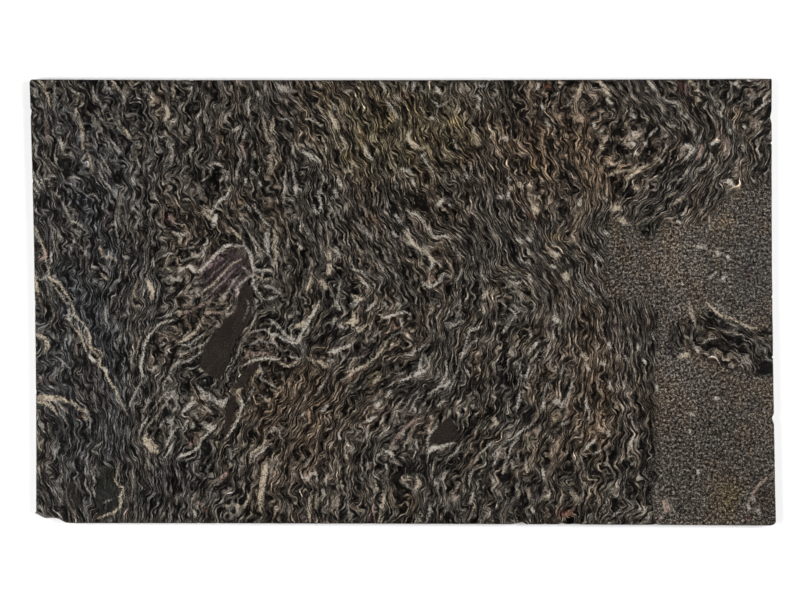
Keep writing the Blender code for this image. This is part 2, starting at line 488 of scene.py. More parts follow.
    "middle left": """
white 0.95 2.4 230,188 228,194 224,199 220,200 217,204 214,209 211,213
white 0.95 5.0 216,216 214,221 213,226
cream 0.8 3.0 203,212 209,218
white 0.9 2.6 178,234 185,235
cream 0.8 3.0 180,238 180,242
white 0.8 2.8 208,238 205,246 203,256
white 0.5 1.5 183,260 196,256 203,251
dark 0.6 2.0 178,254 189,253 199,246 203,240
white 0.4 1.5 183,249 193,247 201,238
white 0.95 3.2 180,271 184,268 190,266 194,271 199,271 204,266 210,261 216,254 221,251 225,246 232,245 \
238,246 244,246
white 0.9 2.6 244,246 248,251 251,254 251,260 254,269 259,271 264,270 268,270 271,271
dark 0.85 2.2 197,270 203,266 210,256 218,247 224,243 232,243 241,244 246,246
dark 0.8 2.6 254,267 261,269 266,268
dark 0.7 1.2 199,284 210,273 221,266 230,257 237,253
dark 0.7 1.2 203,289 214,277 223,271 229,266 234,260 240,256
cream 0.8 1.9 202,297 201,294 204,290 211,286 221,276 231,264 240,260
white 0.4 1.2 206,299 214,290 224,281 231,273 239,266
white 0.4 1.0 195,283 206,282 215,272 226,263
dark 0.85 2.2 217,294 227,284 236,276 239,273
white 0.7 2.0 221,299 229,290 234,280 239,276
dark 0.85 2.2 229,297 234,289 239,283 246,274 249,273
white 0.7 1.5 237,287 246,279 250,276
white 0.7 1.6 243,267 246,270
white 0.9 2.2 252,277 254,281 253,284 256,290 260,294 264,299
cream 0.6 2.0 257,276 263,280 267,279
dark 0.8 2.6 256,283 263,284 269,283
dark 0.7 1.6 259,290 267,294 272,294
dark 0.8 3.0 270,283 277,285 283,290 289,294
white 0.5 2.0 263,286 271,287 280,293 283,299
white 0.8 2.0 270,299 275,297
cream 0.9 2.6 232,229 236,234 241,239
white 0.6 1.2 243,224 249,233 256,243 262,250 270,256 272,261
dark 0.5 1.2 246,224 253,235 260,245 268,252
white 0.8 1.5 248,206 250,211
white 0.7 1.6 253,206 259,213 263,220 271,227
dark 0.5 1.2 256,205 262,213 268,221
white 0.6 1.5 240,214 246,223
dark 0.7 5.0 253,214 254,219
dark 0.7 3.0 256,231 263,240
white 0.7 1.5 245,205 241,208
white 0.7 5.5 268,231 266,241 268,251
cream 0.75 4.0 274,231 276,239 274,246 276,256 274,264
dark 0.6 1.6 270,240 271,250 271,258
dark 0.6 1.6 280,223 281,236 281,247
white 0.8 1.6 288,240 288,245
white 0.9 3.2 295,188 296,192
white 0.8 3.0 285,186 285,192
white 0.7 2.0 284,198 284,202
white 0.9 2.0 318,192 320,199 321,206 319,212
white 0.8 2.0 314,206 316,213
dark 0.6 5.0 299,201 299,213
white 0.9 1.5 298,244 301,248
cream 1.0 2.0 311,277 309,284 307,290
dark 0.7 1.3 309,279 307,285
cream 0.9 4.2 322,282 326,287
dark 0.7 2.0 326,263 324,273 324,278
""",
    "lenses": """
dark 0.6 1.3 253,312 249,329 243,339 240,351
white 0.5 1.1 247,301 249,305 247,312 244,319
white 0.4 1.4 256,315 252,325 246,334 242,344 238,354 232,366 228,377
white 1.0 3.0 266,330 271,334 274,335 277,334 280,336 284,339 289,342 296,343 298,342 299,339 300,335 \
304,329 307,325 311,316 316,309 319,302
white 0.75 3.0 271,320 277,325 283,332 289,338 296,340
dark 0.9 1.6 269,325 274,332 280,333 286,341 291,345 299,345
cream 0.9 4.2 297,326 304,323
dark 0.7 1.5 294,328 300,322 303,313
dark 0.7 1.5 297,320 301,312 304,302
dark 0.8 1.5 302,334 306,330 311,322 317,313 320,306
white 0.6 1.3 250,333 254,331 260,330 266,330
dark 0.6 1.2 247,333 253,328 260,327 266,328
white 0.9 2.1 243,366 251,361 260,359 266,358 274,359 279,359
cream 0.95 2.6 280,363 286,366 291,366 296,362 300,359
white 0.8 2.0 289,356 294,358 299,358
dark 0.5 1.3 244,353 250,349 260,351 271,348 280,352
pink 0.6 1.6 243,358 251,353 260,353 273,353
dark 0.6 1.2 246,360 255,357 266,356 276,357
white 0.5 2.2 251,345 260,339 266,343 273,342 280,349
dark 0.4 1.2 250,348 258,343 266,347 274,346
white 0.6 1.6 260,367 263,373 260,378 267,382 277,388
dark 0.7 1.6 266,372 262,378 269,385 274,388
white 0.7 1.6 254,388 250,396 247,402
white 0.9 3.0 241,399 243,405 240,411
dark 0.7 4.5 257,399 265,402
white 0.6 1.1 260,395 267,400
dark 0.9 1.7 302,385 299,393 296,401 294,409
dark 0.8 1.3 311,376 312,383
white 0.6 1.3 328,376 320,388
white 0.5 1.2 326,381 319,391
dark 0.9 3.2 317,396 322,395 326,395
dark 0.8 3.2 303,409 309,408
white 0.8 3.0 321,411 327,406
cream 0.9 4.2 320,361 324,366
cream 0.7 2.0 308,358 316,363
dark 0.6 6.0 320,345 327,342
white 0.3 2.0 300,338 303,353 303,363
cream 0.85 3.0 203,318 200,325 196,331 191,336 183,341 178,342
pink 0.7 2.6 204,313 211,312 220,313 224,311
white 0.8 2.0 226,315 227,309 231,305
dark 0.6 1.6 205,319 213,320 218,325
white 0.8 1.6 216,326 218,325
white 0.8 1.6 180,344 189,346 197,338 203,335
dark 0.85 2.2 181,346 191,347 201,342 208,332 216,328
white 0.6 1.5 180,351 187,352 196,347 203,345 211,336
dark 0.85 2.2 178,358 187,359 194,353 203,349
white 0.8 2.0 178,363 186,362 196,356 201,352
pink 0.6 3.0 178,314 191,311 201,305 209,301
dark 0.6 1.6 188,318 199,312 207,306 216,303
cream 0.5 1.6 211,302 221,304 228,303
white 0.9 5.0 199,388 203,393 209,396 216,401 223,405 227,399
white 0.9 4.0 183,411 189,406 193,403
dark 0.85 3.0 200,402 207,402 214,409 219,412
white 0.7 1.8 203,406 210,411
dark 0.7 2.0 214,392 219,391 221,388
dark 0.7 1.6 203,381 207,385
""",
    "below the lenses": """
white 0.95 1.7 240,414 238,420 234,425 230,433 226,438
dark 0.9 1.6 243,414 240,421 236,428 230,437 226,441
dark 0.7 2.2 228,449 227,454 229,460
white 0.6 2.4 230,450 231,456
white 0.6 1.5 236,452 232,458
white 0.9 2.2 217,424 207,434 201,440 199,447 193,451 187,454 181,455 178,458
white 0.95 5.5 204,424 208,427 211,428
white 0.9 2.6 193,424 193,426
white 0.6 2.0 195,415 197,418
dark 0.5 1.6 213,432 205,442 203,450
white 0.7 1.2 187,421 183,428
pink 0.4 2.0 190,434 196,437 197,443 190,445 187,440
pink 0.9 3.0 221,478 226,474
dark 0.6 2.2 227,480 221,486
white 0.7 2.0 210,464 207,470
cream 0.9 2.6 265,441 263,446 257,450 252,453 250,457 250,462
white 0.8 2.0 269,445 263,450 256,455 253,461
dark 0.8 1.6 254,449 249,457 248,474
dark 0.6 1.3 266,444 259,449 254,454
white 0.5 1.2 266,438 267,433 273,428 280,428
dark 0.7 1.3 266,435 273,425 277,424 283,427
white 0.7 1.6 270,431 274,428 279,430 280,437 283,440
cream 0.95 6.0 266,465 264,477 262,488 261,497 260,508
dark 0.6 2.0 259,466 256,479 254,494 256,508
dark 0.6 1.6 269,470 267,485 265,500 262,512
cream 0.7 2.6 250,494 247,501 244,508
white 0.5 1.0 274,463 271,471 270,480
white 0.4 1.0 279,460 276,470 273,482
white 0.9 2.2 301,473 303,478 308,480 311,474 316,473 317,480
pink 0.8 5.0 305,476 307,478
dark 0.8 3.0 311,478 312,482
dark 0.8 2.0 303,484 309,488
cream 0.7 3.0 311,494 309,505 310,520
cream 0.6 2.6 317,494 316,508
white 0.9 3.0 323,491 324,494
white 0.8 1.6 326,475 326,484
dark 0.7 2.0 306,495 305,508 306,520
dark 0.85 2.0 314,494 313,508 314,521
dark 0.8 1.8 320,488 320,503 319,518
white 0.6 1.2 310,457 306,464
white 0.9 2.2 303,414 300,417
pink 0.7 3.0 199,503 201,504
white 0.9 2.2 194,512 195,515
rust 0.8 2.0 204,510 206,511
dark 0.8 3.2 200,514 204,514
dark 0.9 3.0 224,509 229,511
cream 0.8 2.0 225,506 227,506
cream 0.8 3.0 236,505 239,506
white 0.5 1.0 231,494 226,500 221,503
""",
    "upper middle": """
cream 0.95 4.2 329,112 333,119 337,128
pink 0.5 2.6 337,114 343,122 345,129
white 0.8 2.0 333,105 335,109
dark 0.6 1.5 333,108 337,118 341,127
dark 0.5 1.3 340,131 346,139
cream 0.75 2.8 340,135 344,141 346,147 343,150
cream 0.5 1.6 351,162 359,168
cream 0.8 3.0 346,171 350,171
white 0.95 3.4 338,177 339,182 341,187
white 0.7 2.0 380,81 384,87
white 0.8 2.8 386,101 391,107 396,114 398,118
white 0.8 2.6 396,96 399,100
pink 0.8 3.0 404,89 405,91
white 0.9 2.4 407,83 408,85
white 0.9 2.6 414,84 413,90
white 0.7 2.4 422,90 424,92
white 1.0 3.0 437,89 440,93
white 0.8 2.0 434,101 439,107 444,104 447,102
white 0.9 3.0 431,118 433,118
white 0.7 2.0 474,129 473,132
white 0.8 2.4 477,106 478,108
cream 0.9 4.0 410,132 407,137 410,142 416,145 420,149 423,148
dark 0.5 2.0 413,133 413,138 418,142
white 0.8 2.6 421,157 424,154
white 0.8 1.8 454,141 457,148
white 0.7 2.4 424,159 427,164 433,172 434,177
white 0.7 3.0 401,169 406,171 409,169
white 0.8 1.8 410,172 412,174
white 0.8 3.0 413,181 414,183
dark 0.8 2.0 403,161 406,167
white 1.0 3.0 367,152 370,157 373,160
white 0.7 2.0 365,147 366,150
cream 0.9 3.6 455,171 457,174
white 0.95 3.6 466,174 468,177
white 0.6 2.0 469,164 471,168
dark 0.5 4.0 404,136 404,146
""",
    "middle": """
white 0.9 2.6 407,210 410,213 416,214 419,217 423,221 427,227 431,233 434,237 439,237 446,236 450,238
cream 0.9 3.0 404,231 409,237 414,244 421,249 427,253 433,260 439,264 441,266
dark 0.6 1.3 409,247 416,254 424,259
dark 0.6 1.1 415,244 424,251
white 0.9 2.8 430,259 433,264 430,269
white 0.8 3.0 396,216 400,221
white 0.6 2.0 393,233 397,236
pink 0.6 2.2 400,237 403,247
white 0.7 1.2 329,203 333,210 336,219
white 0.6 1.2 334,203 338,211 341,219
dark 0.6 1.2 331,203 335,210 338,218
white 0.9 3.2 335,191 337,196
white 0.8 1.6 353,221 360,229 366,234 367,239
white 0.6 1.4 358,223 365,230 371,238
dark 0.7 1.6 355,222 362,230 369,239
white 0.5 1.2 353,239 359,249 363,257
white 0.8 1.5 379,263 383,270
dark 0.7 1.4 377,266 382,273 385,279
white 0.9 3.0 362,281 368,286
white 0.8 2.0 352,269 361,271 367,277
white 0.8 3.2 336,249 339,256
cream 0.9 4.0 329,254 329,258
cream 0.9 4.2 329,266 329,273
white 0.5 1.5 340,280 338,300
cream 1.0 5.0 353,296 357,299 362,299
white 0.95 4.2 439,204 443,200
white 0.8 2.2 449,204 450,206
dark 0.8 2.0 386,281 385,289 384,295
dark 0.8 1.9 426,280 426,289 433,293 437,297
white 0.8 3.2 423,283 429,287 436,284 440,281 443,274 449,276
white 0.6 2.0 462,270 459,276 456,281
cream 1.0 4.6 346,323 353,321 354,313
cream 0.9 3.2 353,325 359,331 366,325
white 0.95 5.0 353,305 357,301
white 0.9 2.6 333,323 335,319
white 0.9 3.2 337,303 339,309
white 0.9 2.6 340,326 342,327
white 0.8 2.0 367,311 374,303
white 0.95 2.6 380,315 384,318 391,316 400,313 406,312 410,314
dark 0.6 1.5 385,311 396,311 403,309
white 0.9 3.0 385,304 386,306
white 0.8 3.0 398,304 400,305
white 0.9 2.2 401,320 402,326
dark 0.6 3.2 405,327 412,325
white 0.4 1.4 386,342 393,335 401,332 407,335 413,341
dark 0.85 2.2 403,336 410,341 416,342
cream 0.8 2.1 387,342 381,352 374,359 366,365 357,369 346,372
dark 0.6 1.6 388,350 381,358 374,365
white 0.9 2.0 400,381 405,379 413,376
white 0.9 3.0 329,352 336,351 343,348 349,346 353,342
white 0.7 2.0 371,339 376,335 380,332
dark 0.6 6.0 350,356 359,352 367,346 376,343
white 0.5 1.5 349,359 358,358 366,355
cream 0.9 2.8 380,376 374,382
white 0.8 3.0 329,360 332,361
cream 0.6 1.3 339,382 353,373 361,368
rust 0.5 1.3 341,386 355,376 364,370
""",
    "lower middle": """
white 0.95 4.2 416,374 421,372 424,371
white 0.8 3.0 421,359 420,365 419,370
white 0.7 2.6 424,355 427,360
white 0.7 3.0 406,354 413,355
white 0.6 1.6 410,353 419,350 424,346 430,345
white 0.6 2.0 400,374 403,373
white 0.85 2.1 446,363 447,373 443,382 437,389 430,393
white 1.0 3.2 449,382 446,386
white 0.6 1.5 453,374 454,381 450,387
white 0.6 1.3 437,368 439,373 436,378
dark 0.75 1.7 440,368 441,376 437,385 431,391
white 0.95 2.2 443,401 439,405
white 0.6 1.6 419,395 414,403 410,411
dark 0.6 1.5 414,397 408,405 403,412
white 0.8 2.0 470,329 467,339 463,353 461,359
white 1.0 2.6 470,331 476,328 480,327
white 0.8 2.0 450,323 454,325 461,321 463,321
dark 0.7 1.6 449,326 454,328 462,325 468,322
white 0.8 1.6 478,339 471,343 467,349 463,355
dark 0.85 2.0 477,337 469,344 465,352
white 0.7 1.6 459,365 457,372 454,378
white 0.8 2.0 467,371 469,375
white 0.5 2.0 461,302 460,309 457,315 456,321
white 0.5 1.1 441,311 437,316
white 0.9 3.2 387,396 390,392
white 0.9 4.0 377,406 380,402
white 0.8 1.6 403,399 396,408
white 0.5 1.3 411,399 402,411
dark 0.6 1.6 404,382 391,395 380,405
dark 0.6 1.6 393,388 381,399 372,408
white 0.7 2.0 438,420 436,427 430,434 427,440 428,447
white 1.0 4.4 429,452 433,448 439,447
white 0.95 2.2 439,447 446,445 453,443
pink 0.7 4.0 421,417 414,421 406,427 401,433 397,438 393,443
white 0.8 3.2 404,430 403,434
dark 0.85 3.0 397,430 393,438 390,443
dark 0.6 2.0 429,415 424,427 421,437
white 0.8 2.2 416,441 417,447
dark 0.5 1.6 415,430 410,438
white 1.0 3.2 367,422 373,418 375,417
white 0.6 2.2 366,430 367,437
white 0.8 2.2 381,422 384,418
white 0.9 2.2 339,436 340,438
white 0.8 2.2 381,453 377,457
white 0.95 3.2 384,450 391,453 388,454
cream 0.9 2.6 346,456 347,457
white 0.8 1.3 366,465 371,463
white 0.7 2.0 391,461 396,463 400,465
white 0.8 1.6 386,465 387,468
cream 0.7 2.0 375,482 377,489
cream 0.85 3.0 383,490 384,500 381,508 379,520
dark 0.6 1.6 377,492 377,505 376,520
cream 0.9 4.2 417,478 419,483 416,488
dark 0.5 2.0 411,477 413,483
dark 0.5 5.0 400,499 408,499
white 0.6 2.6 430,505 429,514 427,521
white 0.5 3.0 401,482 405,485 410,488
white 0.7 1.6 461,445 457,451 450,458 446,463
white 0.7 1.6 449,470 443,477 440,481
white 0.7 2.0 435,483 437,483
white 0.7 1.6 473,470 470,477 469,487
white 0.9 2.0 473,494 471,501
pink 0.9 2.6 455,497 455,499
dark 0.5 2.0 467,497 466,520
dark 0.5 2.0 333,470 331,488 331,517
white 0.4 1.6 338,480 337,500 338,518
white 0.4 1.6 348,500 349,518
""",
    "upper right middle": """
white 0.95 2.6 478,96 480,98
white 0.8 2.2 480,86 483,86
white 0.95 3.2 538,85 538,88
rust 0.8 3.2 547,85 549,87
white 0.7 1.5 555,95 558,93
cream 0.75 4.0 581,85 579,94 578,98
cream 0.9 5.0 600,82 604,87 607,91 610,95
dark 0.7 1.6 598,90 603,94 607,98
white 0.9 3.0 608,100 611,103
cream 0.8 3.0 559,82 561,83
white 0.95 2.6 542,106 543,108
white 0.8 2.0 568,105 570,103
white 0.9 2.2 547,123 549,125
white 0.9 2.6 594,124 595,127
white 0.8 2.0 601,132 603,130
white 0.95 3.2 503,138 506,139
cream 0.8 3.2 601,146 602,148
cream 0.9 2.2 609,175 617,172 626,170
cream 0.7 2.0 611,166 622,161
dark 0.8 1.6 611,170 617,164 626,160
cream 0.9 4.2 519,184 521,186
white 0.8 2.2 509,178 510,180
white 0.9 4.0 499,197 501,197
white 0.9 3.0 508,193 508,198
cream 0.95 4.0 534,208 537,210
white 0.8 3.2 580,201 580,204
white 0.7 2.2 604,198 606,200
cream 0.9 5.0 614,208 618,208
cream 0.9 5.0 622,220 624,223
white 0.8 3.2 605,232 607,234
white 0.9 3.2 554,253 557,255
white 0.9 3.0 528,239 530,240
white 0.8 3.0 519,240 521,242
dark 0.8 2.2 531,217 539,223 546,230
dark 0.5 2.0 524,222 529,227
rust 0.4 3.0 528,213 536,219
dark 0.8 1.6 560,231 567,229 573,226
dark 0.6 4.4 511,253 514,257
dark 0.6 3.0 517,257 521,270
white 0.6 1.2 517,257 526,263
white 1.0 3.0 529,276 531,281
white 0.9 2.1 507,280 511,282 517,284 521,281
white 0.6 1.6 504,278 511,277 520,277
dark 0.85 2.0 509,279 516,280 522,280
white 0.4 1.4 503,288 514,285 526,290
white 0.3 1.4 505,295 515,291 526,296
white 0.8 2.0 481,271 482,276 486,280
cream 0.9 3.0 483,297 487,293
cream 0.9 6.4 565,275 567,278
dark 0.7 4.0 564,267 571,266
dark 0.7 1.6 571,267 576,276 579,287 581,293
white 0.6 2.0 577,277 581,284 589,290 596,297
white 0.8 2.0 594,254 600,260
white 0.9 2.6 552,266 554,267
dark 0.6 2.0 481,189 484,201 487,210
white 0.5 1.5 488,193 488,205
""",
    "right middle": """
cream 0.9 2.6 484,305 484,312
white 0.8 1.6 509,309 513,311 516,315 511,321 506,328 504,332
dark 0.75 1.6 513,317 507,323 501,332
white 0.9 2.0 506,328 504,331
white 0.6 1.6 537,315 536,322
white 0.9 4.2 555,319 558,321
white 0.9 2.2 530,331 531,335
white 1.0 2.6 538,342 534,346 529,352
dark 0.9 2.2 543,338 536,342 530,349
dark 0.6 1.3 541,345 536,353 531,359
white 0.6 1.3 540,349 535,357 530,363
white 0.7 1.6 549,348 546,355 544,361
white 0.8 1.6 553,332 554,339
white 0.6 1.3 551,359 549,368
white 0.8 1.6 556,367 556,372
white 0.8 2.2 563,367 561,375
white 0.9 1.9 529,369 526,377
white 0.7 1.3 536,365 531,375
white 0.7 1.6 521,372 520,378
white 0.7 1.6 554,379 547,385 544,393 543,402 541,411
dark 0.6 1.6 551,382 546,390 541,399
dark 0.5 4.0 540,385 538,398 537,411
white 0.8 1.6 572,380 572,386 567,396 563,408
dark 0.85 1.8 570,383 567,392 562,402
white 0.8 5.4 556,401 562,405
white 0.9 2.2 544,403 544,407
white 0.8 1.6 520,393 518,403 517,410
white 0.95 2.2 586,399 586,405 589,411
cream 0.9 4.2 583,355 586,358
white 0.7 2.0 587,365 589,369
white 0.9 3.0 602,363 604,364
white 0.9 3.2 609,344 610,347
white 0.8 2.0 610,382 610,387
white 0.7 2.0 624,382 624,388
white 0.8 2.2 625,357 626,359
white 0.9 1.6 535,421 529,427 521,431 513,438 503,444 496,450 491,457
white 0.8 1.9 517,438 511,447 509,455 504,465 503,473
white 0.9 1.6 496,460 493,465
white 0.7 1.4 500,451 495,457
white 0.8 1.6 494,441 489,445 483,451 480,453
dark 0.75 1.6 516,440 506,443 497,447 491,453 489,461
dark 0.6 1.4 512,427 503,434 494,440
dark 0.5 4.0 490,458 486,468 480,478
cream 0.9 4.0 494,419 496,423
white 0.8 3.0 512,462 513,466
pink 0.9 3.0 525,435 528,434
white 0.8 2.0 526,460 526,469
white 0.8 1.6 518,453 518,457
white 0.7 1.6 493,480 494,487
white 0.6 1.6 518,485 516,491
white 0.95 3.0 543,471 544,478
dark 0.6 4.0 533,493 535,498
cream 0.6 3.0 529,490 529,496
white 0.9 3.0 532,509 533,511
white 0.7 1.6 550,491 549,500
white 0.9 2.6 595,440 590,444 585,450
white 0.8 2.0 601,450 594,454
white 0.7 1.6 589,414 589,421
white 0.8 1.6 604,427 603,431
white 0.95 3.0 608,433 609,435
white 0.6 1.3 580,455 583,463 584,470
white 0.7 1.6 561,425 568,422
cream 0.8 5.0 573,493 576,498
dark 0.6 5.0 567,486 573,487
white 0.8 2.0 614,515 620,510
white 0.6 1.5 606,503 603,509
""",
    "right": """
white 0.85 3.0 650,82 653,88
rust 0.5 3.0 681,82 681,92
pink 0.6 3.0 686,84 686,95
cream 0.7 3.0 690,81 696,88 699,94
dark 0.6 2.0 699,82 703,89
cream 0.8 3.0 697,99 699,100
white 0.6 1.6 661,97 669,102 679,102 681,107
white 0.8 1.6 680,112 686,117
white 0.6 1.0 673,124 679,128
white 0.8 2.2 656,129 651,134
dark 0.8 3.0 652,127 654,129
white 0.9 3.2 632,115 634,116
white 0.95 3.2 633,134 634,136
white 0.9 3.0 645,143 646,145
white 0.8 3.0 632,143 634,144
white 0.9 2.6 636,153 638,154
cream 0.9 3.2 629,178 639,169 647,165
cream 0.6 2.0 629,171 636,166
dark 0.5 1.3 629,169 639,165 649,163
white 1.0 5.0 687,145 693,149 690,153
white 0.9 2.6 690,152 687,157
pink 0.9 4.0 701,147 700,155
pink 0.8 2.2 700,155 696,159
white 0.8 3.0 711,144 716,142 719,141
white 0.7 2.4 711,155 712,157
pink 0.5 6.0 724,137 727,147 726,156
white 0.8 3.0 729,130 730,132
white 0.9 3.0 743,146 743,149
white 0.9 2.4 744,126 745,128
white 0.6 1.2 709,162 700,171 693,181
white 0.7 1.5 690,167 684,175 677,184
dark 0.6 1.4 694,167 687,177 681,186
white 0.6 1.2 670,144 664,151 660,159
dark 0.6 1.2 673,145 667,153 662,162
white 0.9 2.0 660,159 661,161
white 1.0 3.0 720,113 721,115
white 0.9 3.0 736,84 738,86
pink 0.7 2.0 751,89 752,91
white 0.9 2.0 771,99 761,107
white 0.7 1.5 761,107 753,114
white 0.7 2.0 765,97 768,93
white 0.95 4.2 723,181 729,181 733,185
white 0.7 1.5 716,172 714,178
dark 0.8 1.6 673,200 679,196 684,193
cream 0.7 2.2 667,197 677,192
cream 0.6 3.2 673,204 682,198
dark 0.9 3.2 690,191 687,203 681,210 676,214 670,216
dark 0.6 5.0 672,209 677,206
white 0.9 2.6 678,221 680,223
white 0.8 2.0 682,216 684,213
dark 0.7 2.0 667,223 673,225 678,226
white 0.5 1.2 709,194 706,206 701,214
cream 0.6 1.6 709,217 710,230
dark 0.4 5.0 683,264 687,276
white 0.9 3.0 697,247 704,247
white 0.95 3.0 717,252 718,254
white 0.95 3.0 728,257 729,259
dark 0.6 4.4 700,254 706,260 711,264 716,270
white 0.95 3.2 722,279 725,277
white 0.6 1.6 711,277 716,272
dark 0.4 1.0 723,237 735,238 747,236
cream 0.85 2.3 706,303 713,308 716,312 721,316 727,318 731,318 739,322 746,326 751,328 756,328 759,330
white 0.6 1.2 712,302 719,306 724,310
cream 0.5 4.0 689,303 691,313 694,321
dark 0.6 4.2 681,325 684,336 689,345 693,351 701,355 710,358
white 0.95 3.0 696,349 698,351
white 0.8 2.0 687,337 688,338
cream 0.9 4.2 687,355 681,356
white 0.7 1.6 703,343 709,339 717,338
dark 0.7 1.6 692,344 699,342
white 0.7 1.2 733,356 743,366
white 0.5 1.2 738,354 746,364
dark 0.5 1.2 736,355 744,365
dark 0.7 1.6 724,365 733,369 739,371 747,372 753,373
dark 0.7 3.0 756,353 757,363 764,369 770,372
dark 0.5 5.0 668,345 673,353 676,358
dark 0.7 3.0 674,336 675,338
dark 0.7 1.6 690,389 699,391
dark 0.9 3.2 715,396 717,396
dark 0.9 3.0 722,394 725,393
white 0.95 2.6 716,398 717,398
dark 0.6 3.2 672,406 675,405
dark 0.5 1.2 680,408 687,408
white 0.6 1.6 653,332 654,341
white 0.95 2.6 644,361 645,362
white 0.9 2.6 657,387 657,389
white 0.8 3.0 638,345 638,348
white 0.6 1.3 631,417 634,427 637,431
white 0.8 2.6 633,438 630,444
dark 0.95 3.0 707,423 716,423
dark 0.7 3.0 710,413 712,413
white 0.95 2.6 698,471 698,472
white 0.9 2.0 690,431 690,433
white 0.95 2.0 692,414 693,415
dark 0.6 1.6 707,467 709,468
pink 0.95 6.4 665,502 667,510
white 0.7 1.6 671,505 674,511
dark 0.6 4.2 678,508 681,514
dark 0.6 3.0 662,493 664,493
pink 0.8 3.2 660,516 661,518
white 0.6 1.5 641,515 647,507
pink 0.7 2.6 767,478 759,485 753,494 749,503
dark 0.85 1.6 756,493 752,501
white 0.9 2.6 754,498 754,500
white 0.9 3.0 748,506 749,508
white 0.6 4.2 757,510 759,512
rust 0.8 2.2 748,516 749,519
dark 0.7 2.0 767,483 764,492 762,503
""",
}

# Guides aren't painted. They only steer the grain.
GUIDES = """
33,120 34,150 36,200 ; 60,90 62,120 66,150 ; 140,110 142,135 146,160 ; 120,165 118,180 120,200 ;
156,95 158,120 158,150 ; 70,130 76,142 80,155 ; 60,240 66,262 74,285 84,305 ; 92,215 90,240 88,262 ;
130,200 130,225 132,250 ; 125,290 122,305 122,320 ; 140,235 141,260 ; 40,305 42,318 40,326 ;
95,305 97,325 100,342 ; 120,355 121,375 124,390 ; 60,335 62,345 68,355 ; 85,365 92,385 102,405 ;
60,372 66,382 72,390 ; 135,365 134,380 130,392 ; 45,420 48,440 46,465 ; 60,445 58,465 56,485 ;
85,440 86,460 86,475 ; 115,420 114,435 116,445 ; 138,470 137,485 138,510 ; 40,500 48,512 56,518 ;
170,465 168,485 164,515 ; 108,465 107,490 108,508 ; 185,120 192,140 190,160 ; 205,105 202,122 196,140 ;
210,145 206,160 196,172 ; 225,85 228,100 224,112 ; 245,85 247,95 ; 275,140 278,160 276,178 ;
300,105 306,112 315,116 ; 305,130 312,138 318,147 ; 310,170 312,182 310,195 ; 258,140 259,158 ;
182,200 184,215 ; 192,225 198,220 204,225 ; 300,225 301,250 299,270 ; 290,200 289,225 290,255 ;
312,225 313,250 ; 296,270 294,285 292,297 ; 318,255 318,268 316,282 ; 305,262 301,280 298,295 ;
226,200 232,212 236,222 ; 178,372 188,372 196,374 ; 185,385 192,382 ; 214,345 226,329 238,318 ;
225,365 233,348 243,328 ; 285,310 283,320 ; 274,303 277,315 ; 286,378 290,392 286,408 ; 272,395 270,408 ;
306,345 303,350 ; 290,350 296,352 ; 240,450 238,470 236,490 ; 312,415 304,430 296,445 ;
324,420 314,436 306,447 ; 318,452 314,465 ; 288,445 286,465 284,490 ; 280,495 286,510 ;
295,470 296,495 298,515 ; 185,465 188,480 186,495 ; 215,445 212,458 205,470 ; 246,430 250,440 246,450 ;
215,495 222,488 234,484 ; 180,500 182,515 ; 345,95 352,110 358,125 ; 362,120 368,135 372,145 ;
380,130 384,150 386,170 ; 395,130 395,150 ; 440,120 446,130 450,145 ; 425,120 427,135 ; 365,170 370,185 ;
465,95 470,110 ; 350,180 355,190 ; 395,175 400,188 ; 445,160 456,163 ; 345,205 350,218 ;
340,235 344,250 345,265 ; 375,200 372,208 ; 390,255 395,268 398,280 ; 405,290 410,302 ; 350,275 352,290 ;
330,285 331,298 ; 370,300 364,312 356,322 ; 420,305 424,318 428,332 ; 345,335 340,343 ; 330,335 336,329 ;
350,400 344,420 ; 365,395 356,410 ; 395,345 402,350 410,347 ; 392,366 400,370 ; 420,385 410,392 ;
355,470 356,490 358,512 ; 395,470 396,480 ; 440,495 442,515 ; 455,470 450,485 ; 345,440 346,460 ;
430,470 432,486 ; 470,380 472,395 468,408 ; 448,435 450,425 ; 370,440 364,452 ; 405,505 406,518 ;
474,410 470,425 464,440 ; 436,330 438,345 ; 450,340 448,355 ; 495,95 500,115 506,130 ; 510,100 510,120 ;
525,110 530,125 536,135 ; 560,115 570,125 ; 585,110 580,125 ; 615,110 608,125 600,140 ;
485,130 492,145 498,160 ; 520,150 530,165 540,180 ; 555,150 562,165 572,180 ; 590,160 596,175 602,190 ;
498,210 504,225 512,240 ; 550,200 556,215 ; 590,205 584,218 ; 536,250 545,262 552,275 ; 495,250 496,265 ;
575,240 585,250 ; 498,300 492,315 488,330 ; 515,345 514,365 512,390 ; 500,350 499,375 ; 490,340 486,355 ;
500,390 499,410 ; 530,390 529,412 ; 560,340 561,355 ; 583,375 582,390 ; 600,400 601,425 ;
615,400 617,430 ; 615,450 615,480 ; 595,465 593,490 ; 545,420 542,440 540,460 ; 560,440 556,460 ;
575,415 573,440 ; 530,450 528,440 ; 510,480 508,505 ; 560,470 562,490 ; 590,500 588,518 ;
490,500 489,518 ; 595,320 600,340 ; 575,330 577,350 ; 640,100 645,112 ; 660,108 670,118 680,130 ;
655,145 650,155 640,160 ; 700,105 706,118 710,130 ; 745,100 755,95 ; 690,192 690,197 ; 700,193 696,205 ;
722,190 718,202 ; 690,230 688,245 ; 646,320 646,340 647,360 ; 633,365 634,390 ; 643,400 643,430 642,460 ;
633,480 633,505 ; 690,325 696,335 ; 715,330 730,332 ; 745,340 752,345 ; 765,500 762,518 ;
690,285 696,295 ; 720,290 726,300 ; 650,185 640,190 ; 665,180 655,190
"""
